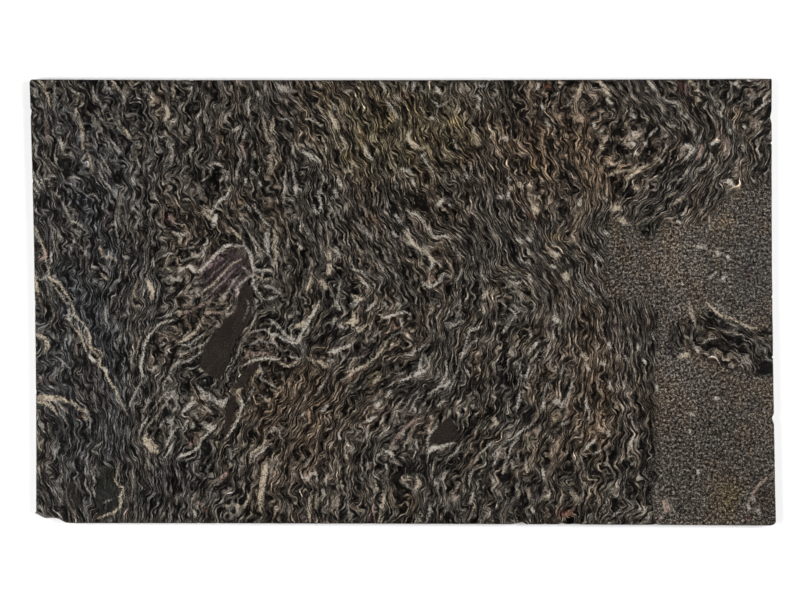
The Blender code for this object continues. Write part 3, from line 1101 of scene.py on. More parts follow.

# Cloudy patches: tint, how much lighter or darker, middle, half width and half height, in pixels
# The bluish darker patch at 755,264 is painted reflection: the dark, bluish sheen on the right side of
# the polished face.
PATCHES = """
blue -.5 70,167 11,8 ; brown .1 158,100 8,18 ; plain -.8 288,108 8,5 ; plain -.5 287,128 6,6
plain .5 286,89 8,4 ; cream .3 325,90 8,10 ; pink .25 106,217 6,14 ; plain .4 110,256 8,6
blue -.4 83,209 5,9 ; pink .2 169,218 9,9 ; plain -.4 41,273 4,3 ; pink .15 45,379 9,4
plain -.4 66,428 7,9 ; green -.25 107,494 12,28 ; plain .3 73,497 9,14 ; blue -.5 115,449 5,5
plain -.7 254,216 5,4 ; brown -.4 241,203 7,12 ; plain .3 270,172 6,7 ; brown -.6 323,343 5,6
pink .2 194,440 7,7 ; purple .2 224,272 22,20 ; purple -.5 350,84 5,3 ; blue -.4 379,113 9,8
green -.6 371,123 3,4 ; yellow .25 346,157 7,6 ; plain -.6 352,152 5,3 ; pink .3 403,97 8,4
yellow .35 455,122 8,6 ; plain -.5 445,155 6,5 ; plain .35 448,241 15,7 ; cream .2 420,261 10,5
plain .2 380,250 12,12 ; brown -.3 370,219 11,5 ; plain -.6 418,277 6,4 ; plain -.5 445,285 8,8
pink .4 433,277 5,4 ; cream .5 353,320 7,8 ; pink .1 396,324 7,5 ; brown -.6 408,326 4,2
purple -.6 362,350 14,5 ; yellow .1 374,376 9,8 ; blue -.7 397,368 9,5 ; plain .4 425,360 5,8
purple -.5 471,385 3,9 ; plain -.6 385,466 6,4 ; green -.5 411,474 6,4 ; brown -.6 404,500 7,3
pink .15 371,468 5,4 ; pink .15 372,515 4,10 ; plain -.5 562,92 14,8 ; plain -.4 560,117 7,5
green -.4 495,173 6,4 ; yellow .15 528,166 6,6 ; plain .1 545,166 8,5 ; cream .45 623,168 12,8
cream .5 557,251 10,7 ; yellow .2 553,236 8,4 ; plain -.6 512,255 4,4 ; plain -.7 568,266 5,3
purple .0 594,281 6,5 ; green .1 521,325 7,7 ; plain -.5 533,327 4,4 ; brown .1 528,396 5,6
purple -.5 615,325 9,5 ; green -.5 529,440 5,4 ; purple -.6 534,495 3,4 ; brown -.6 570,486 5,2
rust -.2 565,513 10,4 ; plain .1 564,499 4,5 ; green .1 486,460 4,9 ; plain -.3 613,488 4,5
green .1 462,421 8,3 ; cream .35 733,113 11,7 ; plain -.6 652,128 4,3 ; plain .3 727,148 5,7
plain -.5 639,162 5,4 ; cream .45 727,222 10,7 ; green -.6 650,226 11,6 ; blue -.1 755,264 18,45
purple -.3 747,272 5,8 ; purple -.5 671,349 3,8 ; plain -.35 648,330 8,18 ; plain -.55 648,425 8,66
plain -.3 645,450 9,20 ; plain -.6 678,508 4,5 ; plain .35 680,262 26,38 ; plain .25 680,385 22,30
yellow .0 730,497 12,18 ; plain -.15 720,450 45,50 ; blue -.15 80,300 60,220 ; blue -.1 160,480 60,60
brown .2 560,150 90,60 ; yellow .12 400,130 80,50 ; brown .1 300,430 50,60
brown .15 590,400 40,80 ; blue .0 70,300 60,230
blue .0 110,300 60,230 ; plain -.4 765,500 14,24 ; purple .15 226,272 20,18
"""

# Areas with a grain of their own, as outlines in pixels
DARK_LENSES = """
246,283 254,290 252,302 251,318 243,329 237,339 231,353 227,367 223,376 217,379 210,376 203,370 199,365
201,357 203,350 208,342 214,335 221,326 228,317 235,312 237,307 238,297 241,289
; 240,376 245,369 254,363 260,362 258,367 254,373 248,380 243,387 235,390 235,385
; 231,396 236,396 235,408 233,418 229,430 226,442 223,442 224,430 226,413 229,402
; 438,427 447,418 453,420 457,432 461,438 453,442 438,444 430,442 431,435
"""
GRANULAR_AREA = """
606,215 625,215 640,235 655,235 665,222 690,225 700,222 720,205 745,185 773,185 790,185 790,540 660,540
650,500 655,480 656,360 658,312 640,300 606,300
"""
FOLIATED_AREA = """
668,330 690,318 712,312 745,328 790,330 790,374 755,375 737,370 717,363 700,356 686,344 675,352
"""
# The last quiet area, on the right, is painted reflection too: it smooths the grain where that sheen
# lies.
QUIET_AREAS = """
201,290 206,275 216,262 228,252 240,249 248,255 249,270 240,280 228,294 212,297
; 100,470 110,464 117,480 119,500 112,520 100,520 96,495
; 66,488 74,482 80,495 80,508 72,512 66,502
; 738,222 790,222 790,306 756,308 742,285 736,250
"""


def read_paths(text):
    """The paths of a text, parted by semicolons, as arrays of points in pixels."""
    return [np.array([[float(n) for n in point.split(",")] for point in part.split()])
            for part in text.split(";")]


def read_bands():
    """Every band as a dictionary with its mineral, strength, width and path."""
    bands = []
    for text in BANDS.values():
        for row in text.strip().splitlines():
            mineral, strength, width, points = row.split(maxsplit=3)
            bands.append({"mineral": mineral, "strength": float(strength),
                          "width": float(width), "path": read_paths(points)[0]})
    return bands


def walk(edges):
    """The corners of a closed loop of edges, in order."""
    neighbours = {}
    for edge in edges:
        first, second = edge.verts
        neighbours.setdefault(first, []).append(second)
        neighbours.setdefault(second, []).append(first)
    loop = [edges[0].verts[0]]
    previous = None
    while True:
        here = loop[-1]
        ahead = [v for v in neighbours[here] if v is not previous][0]
        if ahead is loop[0]:
            break
        previous = here
        loop.append(ahead)
    return loop


def cad_rings(node):
    """The solid's outlines from the face down, each with its points by their angle round the middle."""
    bm = bmesh.new()
    bm.from_mesh(bpy.data.objects[node].data)
    bmesh.ops.remove_doubles(bm, verts=bm.verts[:], dist=MERGE)
    levels = {}
    for vert in bm.verts:
        levels.setdefault(round(vert.co.z, 4), []).append(vert.co[:])
    bm.free()
    rings = []
    for level in sorted(levels, reverse=True):
        ring = np.array(levels[level])
        turn = np.arctan2(ring[:, 1], ring[:, 0])
        rings.append(ring[np.argsort(turn)])
    return rings


def resample(points, count):
    """The path at count + 1 evenly spaced places."""
    steps = np.linalg.norm(np.diff(points, axis=0), axis=1)
    along = np.concatenate(([0.0], np.cumsum(steps)))
    places = np.linspace(0.0, along[-1], count + 1)
    return np.stack([np.interp(places, along, points[:, axis]) for axis in range(3)], axis=1)


def four_sides(ring):
    """The ring's front, right, back and left sides, each evenly divided, anticlockwise."""
    turns = ((-1, -1), (1, -1), (1, 1), (-1, 1))
    corners = [int(np.argmax(ring[:, 0] * x + ring[:, 1] * y)) for x, y in turns]
    counts = (FACE_COLUMNS, FACE_ROWS, FACE_COLUMNS, FACE_ROWS)
    sides = []
    for number, start in enumerate(corners):
        end = corners[(number + 1) % 4]
        length = (end - start) % len(ring)
        places = (start + np.arange(length + 1)) % len(ring)
        sides.append(resample(ring[places], counts[number]))
    return sides


def spread_over(sides):
    """A sheet of points stretched between the four sides, by column and row."""
    front, right = sides[0], sides[1]
    back, left = sides[2][::-1], sides[3][::-1]
    s = np.linspace(0.0, 1.0, FACE_COLUMNS + 1)[:, None, None]
    t = np.linspace(0.0, 1.0, FACE_ROWS + 1)[None, :, None]
    sheet = (1 - t) * front[:, None, :] + t * back[:, None, :]
    sheet = sheet + (1 - s) * left[None, :, :] + s * right[None, :, :]
    corners = (1 - s) * (1 - t) * front[0] + s * (1 - t) * front[-1]
    corners = corners + (1 - s) * t * back[0] + s * t * back[-1]
    return sheet - corners


def dents(row):
    """How deep the broken side is dented at each point of a row."""
    depths = [sum(share * noise.noise(Vector(p) * scale) for scale, share in SIDE_DENTS) for p in row]
    return np.abs(np.array(depths)) * SIDE_ROUGH


def side_rows(rings):
    """Rows of points down the rough sides, from below the face to the back."""
    rows = []
    loops = [np.concatenate([side[:-1] for side in four_sides(ring)]) for ring in rings]
    for upper, lower, bands in zip(loops, loops[1:], SIDE_BANDS):
        for band in range(1, bands + 1):
            share = band / bands
            row = upper * (1 - share) + lower * share
            at_back = lower is loops[-1] and band == bands
            if not at_back:
                ahead = np.roll(row, -1, axis=0) - np.roll(row, 1, axis=0)
                inward = np.stack([-ahead[:, 1], ahead[:, 0]], axis=1)
                inward = inward / np.linalg.norm(inward, axis=1)[:, None]
                row[:, :2] += inward * dents(row)[:, None]
            rows.append(row)
    return rows


def number_round(edges, place, start):
    """Numbers the points along a loop of edges, anticlockwise from the one nearest to start."""
    loop = walk(edges)
    area = sum(a.co.x * b.co.y - b.co.x * a.co.y for a, b in zip(loop, loop[1:]))
    if area < 0:
        loop.reverse()
    first = min(range(len(loop)), key=lambda number: (loop[number].co - start).length)
    for number, vert in enumerate(loop[first:] + loop[:first]):
        vert[place] = number


def build_mesh(rings):
    """The slab: the face as a sheet of quads, rough sides drawn down from it, and a flat back."""
    sides = four_sides(rings[0])
    sheet = spread_over(sides)
    bm = bmesh.new()
    bmesh.ops.create_grid(bm, x_segments=FACE_COLUMNS, y_segments=FACE_ROWS, size=1.0)
    for vert in bm.verts:
        column = round((vert.co.x + 1.0) / 2.0 * FACE_COLUMNS)
        row = round((vert.co.y + 1.0) / 2.0 * FACE_ROWS)
        vert.co = sheet[column, row]
    place = bm.verts.layers.int.new("place")
    edges = [edge for edge in bm.edges if edge.is_boundary]
    number_round(edges, place, Vector(sides[0][0]))
    for face in bm.faces:
        face.smooth = True
    for row in side_rows(rings):
        made = bmesh.ops.extrude_edge_only(bm, edges=edges)["geom"]
        for vert in (part for part in made if isinstance(part, bmesh.types.BMVert)):
            vert.co = row[vert[place]]
        for face in (part for part in made if isinstance(part, bmesh.types.BMFace)):
            face.material_index = 1
        edges = [part for part in made if isinstance(part, bmesh.types.BMEdge)]
        edges = [edge for edge in edges if edge.is_boundary]
    back = bmesh.ops.contextual_create(bm, geom=edges)["faces"]
    for face in back:
        face.material_index = 1
    bmesh.ops.triangulate(bm, faces=back, quad_method="BEAUTY", ngon_method="BEAUTY")
    bmesh.ops.recalc_face_normals(bm, faces=bm.faces[:])
    lay_out(bm)
    bm.verts.layers.int.remove(bm.verts.layers.int["place"])
    mesh = bpy.data.meshes.new("granite_slab_stone")
    bm.to_mesh(mesh)
    bm.free()
    mesh.set_sharp_from_angle(angle=math.radians(SHARP_EDGE))
    return mesh


def part_of(span, share):
    """The place at this share of a span that is given as its start and its size."""
    return span[0] + span[1] * share


def lay_out(bm):
    """The UV map: the face takes most of it, with the back and the sides in strips above."""
    layer = bm.loops.layers.uv.new("UVMap")
    length = cad_box[1][0] - cad_box[0][0]
    width = cad_box[1][1] - cad_box[0][1]
    for face in bm.faces:
        normal = face.normal
        for corner in face.loops:
            x, y, z = corner.vert.co
            u = (x - cad_box[0][0]) / length
            v = (y - cad_box[0][1]) / width
            height = z / FACE_LEVEL
            if normal.z > LEVEL_NORMAL:
                spot = (part_of(UV_LENGTH, u), part_of(UV_FACE, v))
            elif normal.z < -LEVEL_NORMAL:
                spot = (part_of(UV_LENGTH, u), part_of(UV_BACK, v))
            elif abs(normal.y) > abs(normal.x):
                strip = UV_FRONT_SIDE if normal.y < 0 else UV_BACK_SIDE
                spot = (part_of(UV_LENGTH, u), part_of((strip, UV_SIDE), height))
            else:
                strip = UV_LEFT_SIDE if normal.x < 0 else UV_RIGHT_SIDE
                spot = (part_of(UV_LENGTH, v), part_of((strip, UV_SIDE), height))
            corner[layer].uv = spot


def pieces_of(path):
    """The path's straight stretches: starts, ends and lengths."""
    starts, ends = path[:-1], path[1:]
    return starts, ends, np.linalg.norm(ends - starts, axis=1)


def grain_field(paths):
    """The strata coordinate on a lattice: it rises evenly across the paths and stays level along them."""
    us = np.arange(LATTICE_U[0], LATTICE_U[1] + 1, LATTICE_STEP)
    vs = np.arange(LATTICE_V[0], LATTICE_V[1] + 1, LATTICE_STEP)
    cell_u, cell_v = np.meshgrid(us[:-1] + LATTICE_STEP / 2, vs[:-1] + LATTICE_STEP / 2)
    level = np.zeros(cell_u.shape)
    slant = np.zeros(cell_u.shape)
    for path in paths:
        starts, ends, lengths = pieces_of(path)
        if lengths.sum() < STEERING_LENGTH:
            continue
        for start, end, length in zip(starts, ends, lengths):
            if length < STEERING_STRETCH:
                continue
            middle = (start + end) / 2
            angle = 2.0 * math.atan2(end[1] - start[1], end[0] - start[0])
            away = (cell_u - middle[0]) ** 2 + (cell_v - middle[1]) ** 2
            weight = min(length, STEERING_MOST) / (away + STEERING_NEAR) ** STEERING_POWER
            level += weight * math.cos(angle)
            slant += weight * math.sin(angle)
    angle = 0.5 * np.arctan2(slant, level)
    along_u, along_v = np.cos(angle), np.sin(angle)
    flip = np.where(along_v < 0.0, -1.0, 1.0)
    across = (along_v * flip, -along_u * flip)
    return us, vs, solve_strata(us, vs, (along_u, along_v), across)


def slopes(values):
    """The slope of values on a lattice, at the cells' middles."""
    right = (values[1:, 1:] + values[:-1, 1:] - values[1:, :-1] - values[:-1, :-1]) / 2
    down = (values[1:, 1:] + values[1:, :-1] - values[:-1, 1:] - values[:-1, :-1]) / 2
    return right / LATTICE_STEP, down / LATTICE_STEP


def gather(right, down):
    """The opposite of slopes: brings amounts at the cells' middles back to the lattice."""
    rows, columns = right.shape
    values = np.zeros((rows + 1, columns + 1))
    values[1:, 1:] += right + down
    values[:-1, 1:] += right - down
    values[1:, :-1] += down - right
    values[:-1, :-1] -= right + down
    return values / (2 * LATTICE_STEP)


def solve_strata(us, vs, along, across):
    """Least squares by conjugate gradients: no slope along the grain, a slope of 1 across it."""

    def pull(values):
        right, down = slopes(values)
        level = right * along[0] + down * along[1]
        rise = right * across[0] + down * across[1]
        total = gather(level * along[0] + STEADY * rise * across[0],
                       level * along[1] + STEADY * rise * across[1])
        for axis in (0, 1):
            step = np.diff(values, axis=axis) * STRETCHING
            pad = [(0, 0), (0, 0)]
            pad[axis] = (1, 1)
            total -= np.diff(np.pad(step, pad), axis=axis)
        return total

    wanted = gather(STEADY * across[0], STEADY * across[1])
    values = np.tile(us, (len(vs), 1))
    rest = wanted - pull(values)
    way = rest.copy()
    size = np.sum(rest * rest)
    for _ in range(SOLVING_ROUNDS):
        pulled = pull(way)
        step = size / np.sum(way * pulled)
        values = values + step * way
        rest = rest - step * pulled
        new_size = np.sum(rest * rest)
        way = rest + (new_size / size) * way
        size = new_size
    return values


def read_off(us, vs, values, points):
    """The lattice's value at each point, blended between its neighbours."""
    last = 1 + TINY
    u = np.clip((points[:, 0] - us[0]) / LATTICE_STEP, 0, len(us) - last)
    v = np.clip((points[:, 1] - vs[0]) / LATTICE_STEP, 0, len(vs) - last)
    column, row = u.astype(int), v.astype(int)
    du, dv = u - column, v - row
    upper = values[row, column] * (1 - du) + values[row, column + 1] * du
    lower = values[row + 1, column] * (1 - du) + values[row + 1, column + 1] * du
    return upper * (1 - dv) + lower * dv


def dotted(path):
    """The path as closely spaced dots."""
    starts, ends, lengths = pieces_of(path)
    dots = [start + (end - start) * share for start, end, length in zip(starts, ends, lengths)
            for share in np.linspace(0.0, 1.0, max(2, int(length / DOT_STEP)))]
    return np.array(dots)


def sort_into_layers(bands):
    """Bands that lie close together go in different layers, so that each keeps its own edges."""
    spots = [dotted(band["path"]) for band in bands]
    layers = []
    order = sorted(range(len(bands)), key=lambda number: -len(spots[number]))
    for number in order:
        for layer in layers:
            if all(clear_of(bands, spots, number, other) for other in layer):
                layer.append(number)
                break
        else:
            layers.append([number])
    return [[bands[number] for number in layer] for layer in layers]


def clear_of(bands, spots, one, other):
    """Whether two bands are far enough apart to share a layer."""
    gap = (bands[one]["width"] + bands[other]["width"]) / 2 + APART
    low = spots[one].min(axis=0) - gap
    high = spots[one].max(axis=0) + gap
    near = np.all((spots[other] > low) & (spots[other] < high), axis=1)
    if not near.any():
        return True
    apart = spots[one][:, None, :] - spots[other][near][None, :, :]
    return np.min(np.sum(apart ** 2, axis=2)) > gap * gap


def measure(path, spots):
    """Each spot's distance from the path, its signed distance, how far past the path's ends it is, and
    how far along the path."""
    starts, ends, lengths = pieces_of(path)
    total = lengths.sum()
    best = np.full(len(spots), np.inf)
    signed, beyond, place = np.zeros((3, len(spots)))
    done = 0.0
    for start, end, length in zip(starts, ends, lengths):
        way = (end - start) / max(length, TINY)
        rel = spots - start
        run = rel @ way
        inside = np.clip(run, 0.0, length)
        away = np.linalg.norm(rel - inside[:, None] * way, axis=1)
        side = np.where(rel[:, 0] * way[1] - rel[:, 1] * way[0] < 0, -1.0, 1.0)
        past = np.zeros(len(spots))
        if done == 0.0:
            past = np.maximum(-run, past)
        if done + length > total - TINY:
            past = np.maximum(run - length, past)
        closer = away < best
        best = np.where(closer, away, best)
        beyond = np.where(closer, past, beyond)
        signed = np.where(closer, side * np.sqrt(np.maximum(away ** 2 - past ** 2, 0.0)), signed)
        place = np.where(closer, done + inside, place)
        done += length
    return best, signed, beyond, place


def paint_layer(layer, points):
    """For each point: distance from its band, half the band's width, its strength and its mineral."""
    values = np.zeros((len(points), 4), dtype=np.float32)
    nearest = np.full(len(points), MARGIN)
    names = list(MINERALS)
    for band in layer:
        path = band["path"]
        low, high = path.min(axis=0) - MARGIN, path.max(axis=0) + MARGIN
        chosen = np.nonzero(np.all((points > low) & (points < high), axis=1))[0]
        best, signed, beyond, place = measure(path, points[chosen])
        total = pieces_of(path)[2].sum()
        half = band["width"] / 2
        taper = np.ones(len(chosen))
        if total >= TAPERED:
            to_end = np.minimum(place, total - place)
            taper = 0.5 + 0.5 * np.clip(to_end / max(TAPER_LEAST, TAPER_SHARE * total), 0.0, 1.0)
        fade = np.clip((half + SIDE_FADE[0] - np.abs(signed)) / SIDE_FADE[1], 0.0, 1.0)
        fade = fade * np.clip(1.0 - (beyond - END_FADE[0] * half) / END_FADE[1], 0.0, 1.0)
        better = best < nearest[chosen]
        target = chosen[better]
        nearest[target] = best[better]
        values[target, 0] = signed[better]
        values[target, 1] = (half * taper)[better]
        values[target, 2] = (band["strength"] * fade)[better]
        values[target, 3] = names.index(band["mineral"])
    return values


def depth_inside(outlines, points):
    """How far inside the nearest outline each point is, in pixels, negative outside."""
    result = np.full(len(points), -DEEPEST)
    for outline in outlines:
        ends = np.roll(outline, -1, axis=0)
        inside = np.zeros(len(points), dtype=bool)
        nearest = np.full(len(points), np.inf)
        for start, end in zip(outline, ends):
            way = end - start
            rel = points - start
            share = np.clip(rel @ way / max(way @ way, TINY), 0.0, 1.0)
            nearest = np.minimum(nearest, np.linalg.norm(rel - share[:, None] * way, axis=1))
            if start[1] != end[1]:
                crosses = (start[1] > points[:, 1]) != (end[1] > points[:, 1])
                at = start[0] + (points[:, 1] - start[1]) * way[0] / way[1]
                inside ^= crosses & (points[:, 0] < at)
        result = np.maximum(result, np.where(inside, nearest, -nearest))
    return np.clip(result, -DEEPEST, DEEPEST)


def patch_colours(points):
    """The sum of the cloudy patches at each point, as amounts for red, green and blue."""
    total = np.zeros((len(points), 3))
    for entry in PATCHES.strip().replace("\n", ";").split(";"):
        tint, light, middle, size = entry.split()
        middle = np.array([float(n) for n in middle.split(",")])
        size = np.array([float(n) for n in size.split(",")])
        away = np.sum(((points - middle) / size) ** 2, axis=1)
        strength = np.exp(-PATCH_FADE * away ** PATCH_FLAT)
        total += strength[:, None] * (np.array(TINTS[tint]) + float(light))
    return total


def keep(mesh, name, kind, values):
    """Stores one value or colour at each of the mesh's points."""
    attribute = mesh.attributes.new(name, kind, "POINT")
    field = {"FLOAT": "value", "FLOAT_COLOR": "color"}[kind]
    attribute.data.foreach_set(field, np.ascontiguousarray(values, dtype=np.float32).ravel())


def mark_mesh(mesh):
    """Puts the strata, the bands' layers, the areas and the patches on the mesh."""
    flat = np.empty(len(mesh.vertices) * 3)
    mesh.vertices.foreach_get("co", flat)
    spots = flat.reshape(-1, 3)
    points = np.stack([spots[:, 0] / PIXEL + MIDDLE_U, MIDDLE_V - spots[:, 1] / PIXEL], axis=1)
    bands = read_bands()
    us, vs, strata = grain_field([band["path"] for band in bands] + read_paths(GUIDES))
    keep(mesh, "strata", "FLOAT", read_off(us, vs, strata, points))
    layers = sort_into_layers(bands)
    for number, layer in enumerate(layers):
        keep(mesh, f"bands_{number}", "FLOAT_COLOR", paint_layer(layer, points))
    areas = [depth_inside(read_paths(text), points)
             for text in (DARK_LENSES, GRANULAR_AREA, FOLIATED_AREA, QUIET_AREAS)]
    keep(mesh, "areas", "FLOAT_COLOR", np.stack(areas, axis=1))
    colours = patch_colours(points)
    keep(mesh, "patches", "FLOAT_COLOR", np.column_stack([colours, np.ones(len(points))]))
    return len(layers)


class Value:
    """A shader socket that can be used in sums."""

    def __init__(self, shop, socket):
        self.shop = shop
        self.socket = socket

    def maths(self, operation, *others):
        values = dict(enumerate((self, *others)))
        return self.shop.node("ShaderNodeMath", {"operation": operation}, values)

    def __add__(self, other):
        return self.maths("ADD", other)

    __radd__ = __add__

    def __mul__(self, other):
        return self.maths("MULTIPLY", other)

    __rmul__ = __mul__

    def __sub__(self, other):
        return self.maths("SUBTRACT", other)

    def __rsub__(self, other):
        return (self * -1.0) + other

    def __truediv__(self, other):
        return self.maths("DIVIDE", other)

    def size(self):
        return self.maths("ABSOLUTE")

    def clamp(self):
        return self.node_range(0.0, 1.0, way="LINEAR")

    def node_range(self, low, high, to_low=0.0, to_high=1.0, way="SMOOTHSTEP"):
        settings = {"interpolation_type": way, "clamp": True}
        values = {0: self, 1: low, 2: high, 3: to_low, 4: to_high}
        return self.shop.node("ShaderNodeMapRange", settings, values)


class Workshop:
    """Makes the nodes of one material, or of the surround."""

    def __init__(self, owner, shader="Principled BSDF"):
        owner.use_nodes = True
        self.owner = owner
        self.tree = owner.node_tree
        self.inputs = self.tree.nodes[shader].inputs

    def node(self, kind, settings=None, values=None, out=0):
        made = self.tree.nodes.new(kind)
        for name, setting in (settings or {}).items():
            if name == "stops":
                self.set_stops(made.color_ramp, setting)
            elif name == "interpolation":
                made.color_ramp.interpolation = setting
            else:
                setattr(made, name, setting)
        for name, value in (values or {}).items():
            self.plug(made.inputs[name], value)
        return Value(self, made.outputs[out])

    def set_stops(self, ramp, stops):
        while len(ramp.elements) < len(stops):
            ramp.elements.new(0.5)
        for element, (place, colour) in zip(ramp.elements, stops):
            element.position = place
            element.color = (*colour, 1.0)

    def plug(self, socket, value):
        """Links a socket, or sets it to a number or to a colour's red, green and blue."""
        if isinstance(value, Value):
            self.tree.links.new(value.socket, socket)
        elif isinstance(value, tuple):
            socket.default_value = (*value, 1.0)
        else:
            socket.default_value = value

    def mix(self, factor, first, second, blend="MIX"):
        settings = {"data_type": "RGBA", "blend_type": blend, "clamp_factor": True}
        return self.node("ShaderNodeMix", settings, {0: factor, 6: first, 7: second}, out=2)

    def attribute(self, name):
        """The four numbers that the mesh keeps under this name."""
        colour = self.node("ShaderNodeAttribute", {"attribute_name": name})
        return [*self.three(colour), Value(self, colour.socket.node.outputs["Alpha"])]

    def three(self, vector):
        """The three numbers in a colour or vector."""
        made = self.node("ShaderNodeSeparateXYZ", {}, {0: vector})
        return [Value(self, output) for output in made.socket.node.outputs]

    def vector(self, x, y, z):
        return self.node("ShaderNodeCombineXYZ", {}, {0: x, 1: y, 2: z})

    def noise(self, vector, scale, detail, rough):
        settings = {"noise_dimensions": "3D", "noise_type": "FBM", "normalize": True}
        values = {"Vector": vector, "Scale": scale, "Detail": detail, "Roughness": rough}
        return self.node("ShaderNodeTexNoise", settings, values)


def brighten(shop, colour, amount):
    """The colour made lighter or darker: amount is in natural logarithms."""
    factor = amount.maths("EXPONENT")
    return shop.mix(1.0, colour, shop.vector(factor, factor, factor), "MULTIPLY")


def face_material(layer_count):
    """The polished face: fine grain along the strata, the veins, the lenses and the patches."""
    shop = Workshop(bpy.data.materials.new("polished_granite"))
    x, y, _ = shop.three(shop.node("ShaderNodeTexCoord", out="Object"))
    u = x / PIXEL
    v = y / PIXEL
    flat = shop.vector(u, v, 0.0)
    strata = shop.node("ShaderNodeAttribute", {"attribute_name": "strata"}, out="Fac")
    lens, granular, foliated, quiet = shop.attribute("areas")

    def even(name):
        return shop.noise(flat, *EVEN_NOISES[name])

    def layered(name):
        thick, long, detail, rough, start = LAYERED_NOISES[name]
        return shop.noise(shop.vector(bent / thick + start, u / long, v / long), 1.0, detail, rough)

    def inside_area(name, depth, wander):
        far, low, high = AREA_EDGES[name]
        return (depth + wander * far).node_range(low, high)

    def left_of(name):
        in_lenses, in_quiet_areas = MISSING[name]
        return (1 - in_lens * in_lenses) * (1 - in_quiet * in_quiet_areas)

    def sets_in(name, noise_value):
        return noise_value.node_range(*THRESHOLDS[name])

    waver = even("waver") - 0.5
    drift = even("drift") - 0.5
    ripple = even("ripple") - 0.5
    grain = even("grain") - 0.5
    bent = strata + waver * BENDS["waver"] + ripple * BENDS["ripple"] + drift * BENDS["drift"]
    bands = layered("bands") - 0.5
    fine = layered("fine") - 0.5

    in_lens = inside_area("lens", lens, drift)
    in_quiet = inside_area("quiet", quiet, waver)
    in_foliated = inside_area("foliated", foliated, waver)
    in_loose = inside_area("granular", granular, waver) * (1 - in_foliated)
    in_layers = 1 - in_loose

    tone = (layered("broad") - 0.5) * TONES["broad"] + bands * TONES["bands"] + fine * TONES["fine"]
    tone = (tone * in_layers + (even("mottle") - 0.5) * TONES["mottle"]) * left_of("layers")
    tone = tone + grain * TONES["grain"] * left_of("grain")
    tone = tone + (even("speckle") - 0.5) * TONES["speckle"] * in_loose
    tone = tone + in_loose * TONES["granular area"] + in_quiet * TONES["quiet area"]
    tone = tone + in_lens * TONES["lens"] + in_foliated * TONES["foliated area"]
    tone = tone - (tone - BRIGHT_TONE).maths("MAXIMUM", 0.0) * HOLD_BACK
    colour = brighten(shop, BASE_STONE, tone + TONES["whole face"])

    darks = sets_in("darks", layered("darks")) * in_layers * left_of("darks")
    colour = shop.mix(darks, colour, MINERALS["dark"])
    colour = shop.mix(sets_in("pale", even("pale")) * in_loose, colour, PALE_GRAINS)
    threads = sets_in("threads", layered("threads")) * sets_in("patchy", even("patchy")) * in_layers
    threads = threads * (grain * THREAD_GAPS + THREAD_WHOLE).clamp() * left_of("threads")
    colour = shop.mix(threads, colour, THREADS)
    colour = shop.mix(sets_in("warm", layered("warm")), colour, WARM_CAST, "MULTIPLY")
    light = sets_in("light", even("light") + fine * LIGHT_RUN) * left_of("light")
    colour = shop.mix(light, colour, MINERALS["cream"])
    lens_tone = grain * LENS_GRAIN[0] + bands * LENS_GRAIN[1]
    colour = shop.mix(in_lens * LENS_COVER, colour, brighten(shop, LENS_BROWN, lens_tone))
    patches = [amount.maths("EXPONENT") for amount in shop.attribute("patches")[:3]]
    colour = shop.mix(1.0, colour, shop.vector(*patches), "MULTIPLY")

    wobble = (even("wobble") - 0.5) * BAND_WOBBLE[0] + drift * BAND_WOBBLE[1]
    uneven = sets_in("uneven", even("uneven") + bands * BAND_RUN)
    stops = [(number / len(MINERALS), mineral) for number, mineral in enumerate(MINERALS.values())]
    ramp = {"stops": stops, "interpolation": "CONSTANT"}
    for number in range(layer_count):
        distance, half, strength, mineral = shop.attribute(f"bands_{number}")
        inside = (half - (distance + wobble).size()).node_range(*BAND_EDGE)
        paint = shop.node("ShaderNodeValToRGB", ramp, {0: (mineral + WITHIN_STOP) / len(MINERALS)})
        colour = shop.mix(inside * strength * uneven, colour, paint)

    shop.plug(shop.inputs["Base Color"], colour)
    shop.plug(shop.inputs["Roughness"], grain * FACE_GLOSS[1] + FACE_GLOSS[0])
    shop.plug(shop.inputs["Specular IOR Level"], FACE_SPECULAR)
    return shop.owner


def rough_material():
    """The broken sides and the sawn back: the same stone, dull, paler and dusty, with saw marks."""
    shop = Workshop(bpy.data.materials.new("rough_granite"))
    x, y, z = shop.three(shop.node("ShaderNodeTexCoord", out="Object"))

    def drawn_out(name, along=x):
        scales, detail, rough = ROUGH_NOISES[name]
        spot = shop.vector(along * scales[0], y * scales[1], z * scales[2])
        return shop.noise(spot, 1.0, detail, rough) - 0.5

    bent = x + y * LAYER_SLANT + drawn_out("bend") * LAYER_BEND
    noises = {name: drawn_out(name) for name in ("grain", "dust", "saw marks")}
    noises["layers"] = drawn_out("layers", bent)
    tone = sum(noises[name] * amount for name, amount in ROUGH_TONES.items())
    height = sum(noises[name] * amount for name, amount in ROUGH_HEIGHTS.items())
    dusty = noises["dust"].node_range(*DUSTY)
    colour = shop.mix(dusty, brighten(shop, ROUGH_STONE, tone), STONE_DUST)
    bump = {"Strength": BUMP_STRENGTH, "Distance": BUMP_DISTANCE, "Height": height}
    shop.plug(shop.inputs["Base Color"], colour)
    shop.plug(shop.inputs["Roughness"], noises["grain"] * ROUGH_DULLNESS[1] + ROUGH_DULLNESS[0])
    shop.plug(shop.inputs["Normal"], shop.node("ShaderNodeBump", {}, bump))
    return shop.owner


def add_object(name, data):
    """A new object of the scene."""
    made = bpy.data.objects.new(name, data)
    bpy.context.scene.collection.objects.link(made)
    return made


def make_slab():
    """The slab, dressed."""
    mesh = build_mesh(cad_rings("granite_slab"))
    layer_count = mark_mesh(mesh)
    slab = add_object("granite_slab_stone", mesh)
    mesh.materials.append(face_material(layer_count))
    mesh.materials.append(rough_material())
    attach(slab, "root")
    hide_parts("granite_slab")


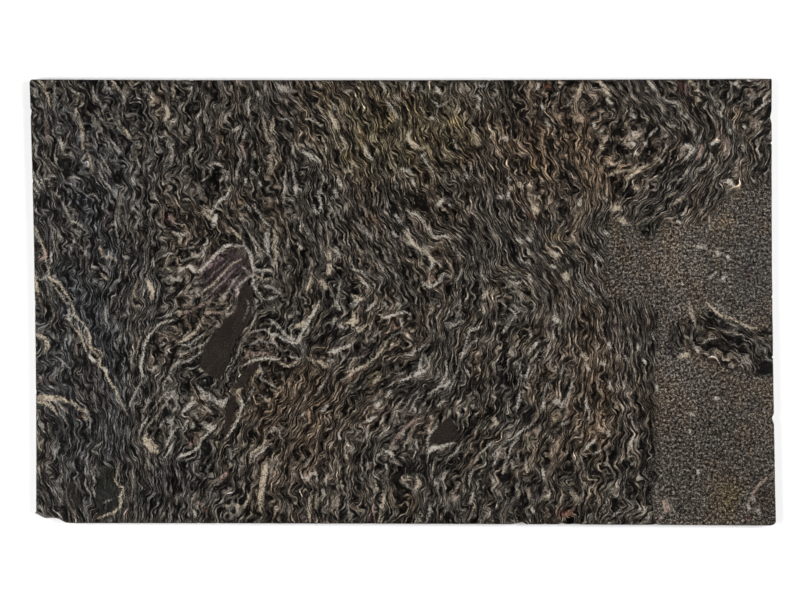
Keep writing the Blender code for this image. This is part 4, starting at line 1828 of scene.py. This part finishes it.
def make_camera():
    """Straight above the slab, far enough that the frame takes in its face as the photo does."""
    data = bpy.data.cameras.new("camera")
    data.lens = CAMERA_LENS
    data.sensor_width = SENSOR
    data.clip_end = FAR
    camera = add_object("camera", data)
    height = FRAME_WIDTH * PIXEL * CAMERA_LENS / SENSOR
    middle = ((FRAME_WIDTH / 2 - MIDDLE_U) * PIXEL, (MIDDLE_V - FRAME_HEIGHT / 2) * PIXEL)
    camera.location = (*middle, FACE_LEVEL + height)
    bpy.context.scene.camera = camera


def soft_light(name, place):
    """A large soft lamp that points at the slab's middle."""
    data = bpy.data.lights.new(name, "AREA")
    data.shape = "RECTANGLE"
    data.size, data.size_y = LAMP_SIZE
    data.energy = LAMP_POWER
    lamp = add_object(name, data)
    lamp.location = place
    lamp.rotation_euler = (-Vector(place)).to_track_quat("-Z", "Y").to_euler()


def make_floor():
    """A plain pale floor."""
    bm = bmesh.new()
    bmesh.ops.create_grid(bm, x_segments=1, y_segments=1, size=FLOOR_REACH)
    mesh = bpy.data.meshes.new("floor")
    bm.to_mesh(mesh)
    bm.free()
    shop = Workshop(bpy.data.materials.new("pale_floor"))
    shop.plug(shop.inputs["Base Color"], PALE_FLOOR)
    shop.plug(shop.inputs["Roughness"], FLOOR_ROUGHNESS)
    shop.plug(shop.inputs["Specular IOR Level"], FLOOR_SPECULAR)
    mesh.materials.append(shop.owner)
    add_object("floor", mesh)


def make_studio():
    """A pale floor, two large lamps at the sides as on a copy stand, and a soft surround."""
    make_floor()
    x, y, z = LAMP_PLACE
    soft_light("left_lamp", (-x, -y, z))
    soft_light("right_lamp", (x, y, z))
    world = bpy.data.worlds.new("surround")
    bpy.context.scene.world = world
    shop = Workshop(world, "Background")
    height = shop.three(shop.node("ShaderNodeTexCoord", out="Generated"))[2]
    shop.plug(shop.inputs["Color"], shop.node("ShaderNodeValToRGB", {"stops": SURROUND}, {0: height}))
    bpy.context.scene.view_settings.view_transform = "Standard"


make_slab()
make_studio()
make_camera()
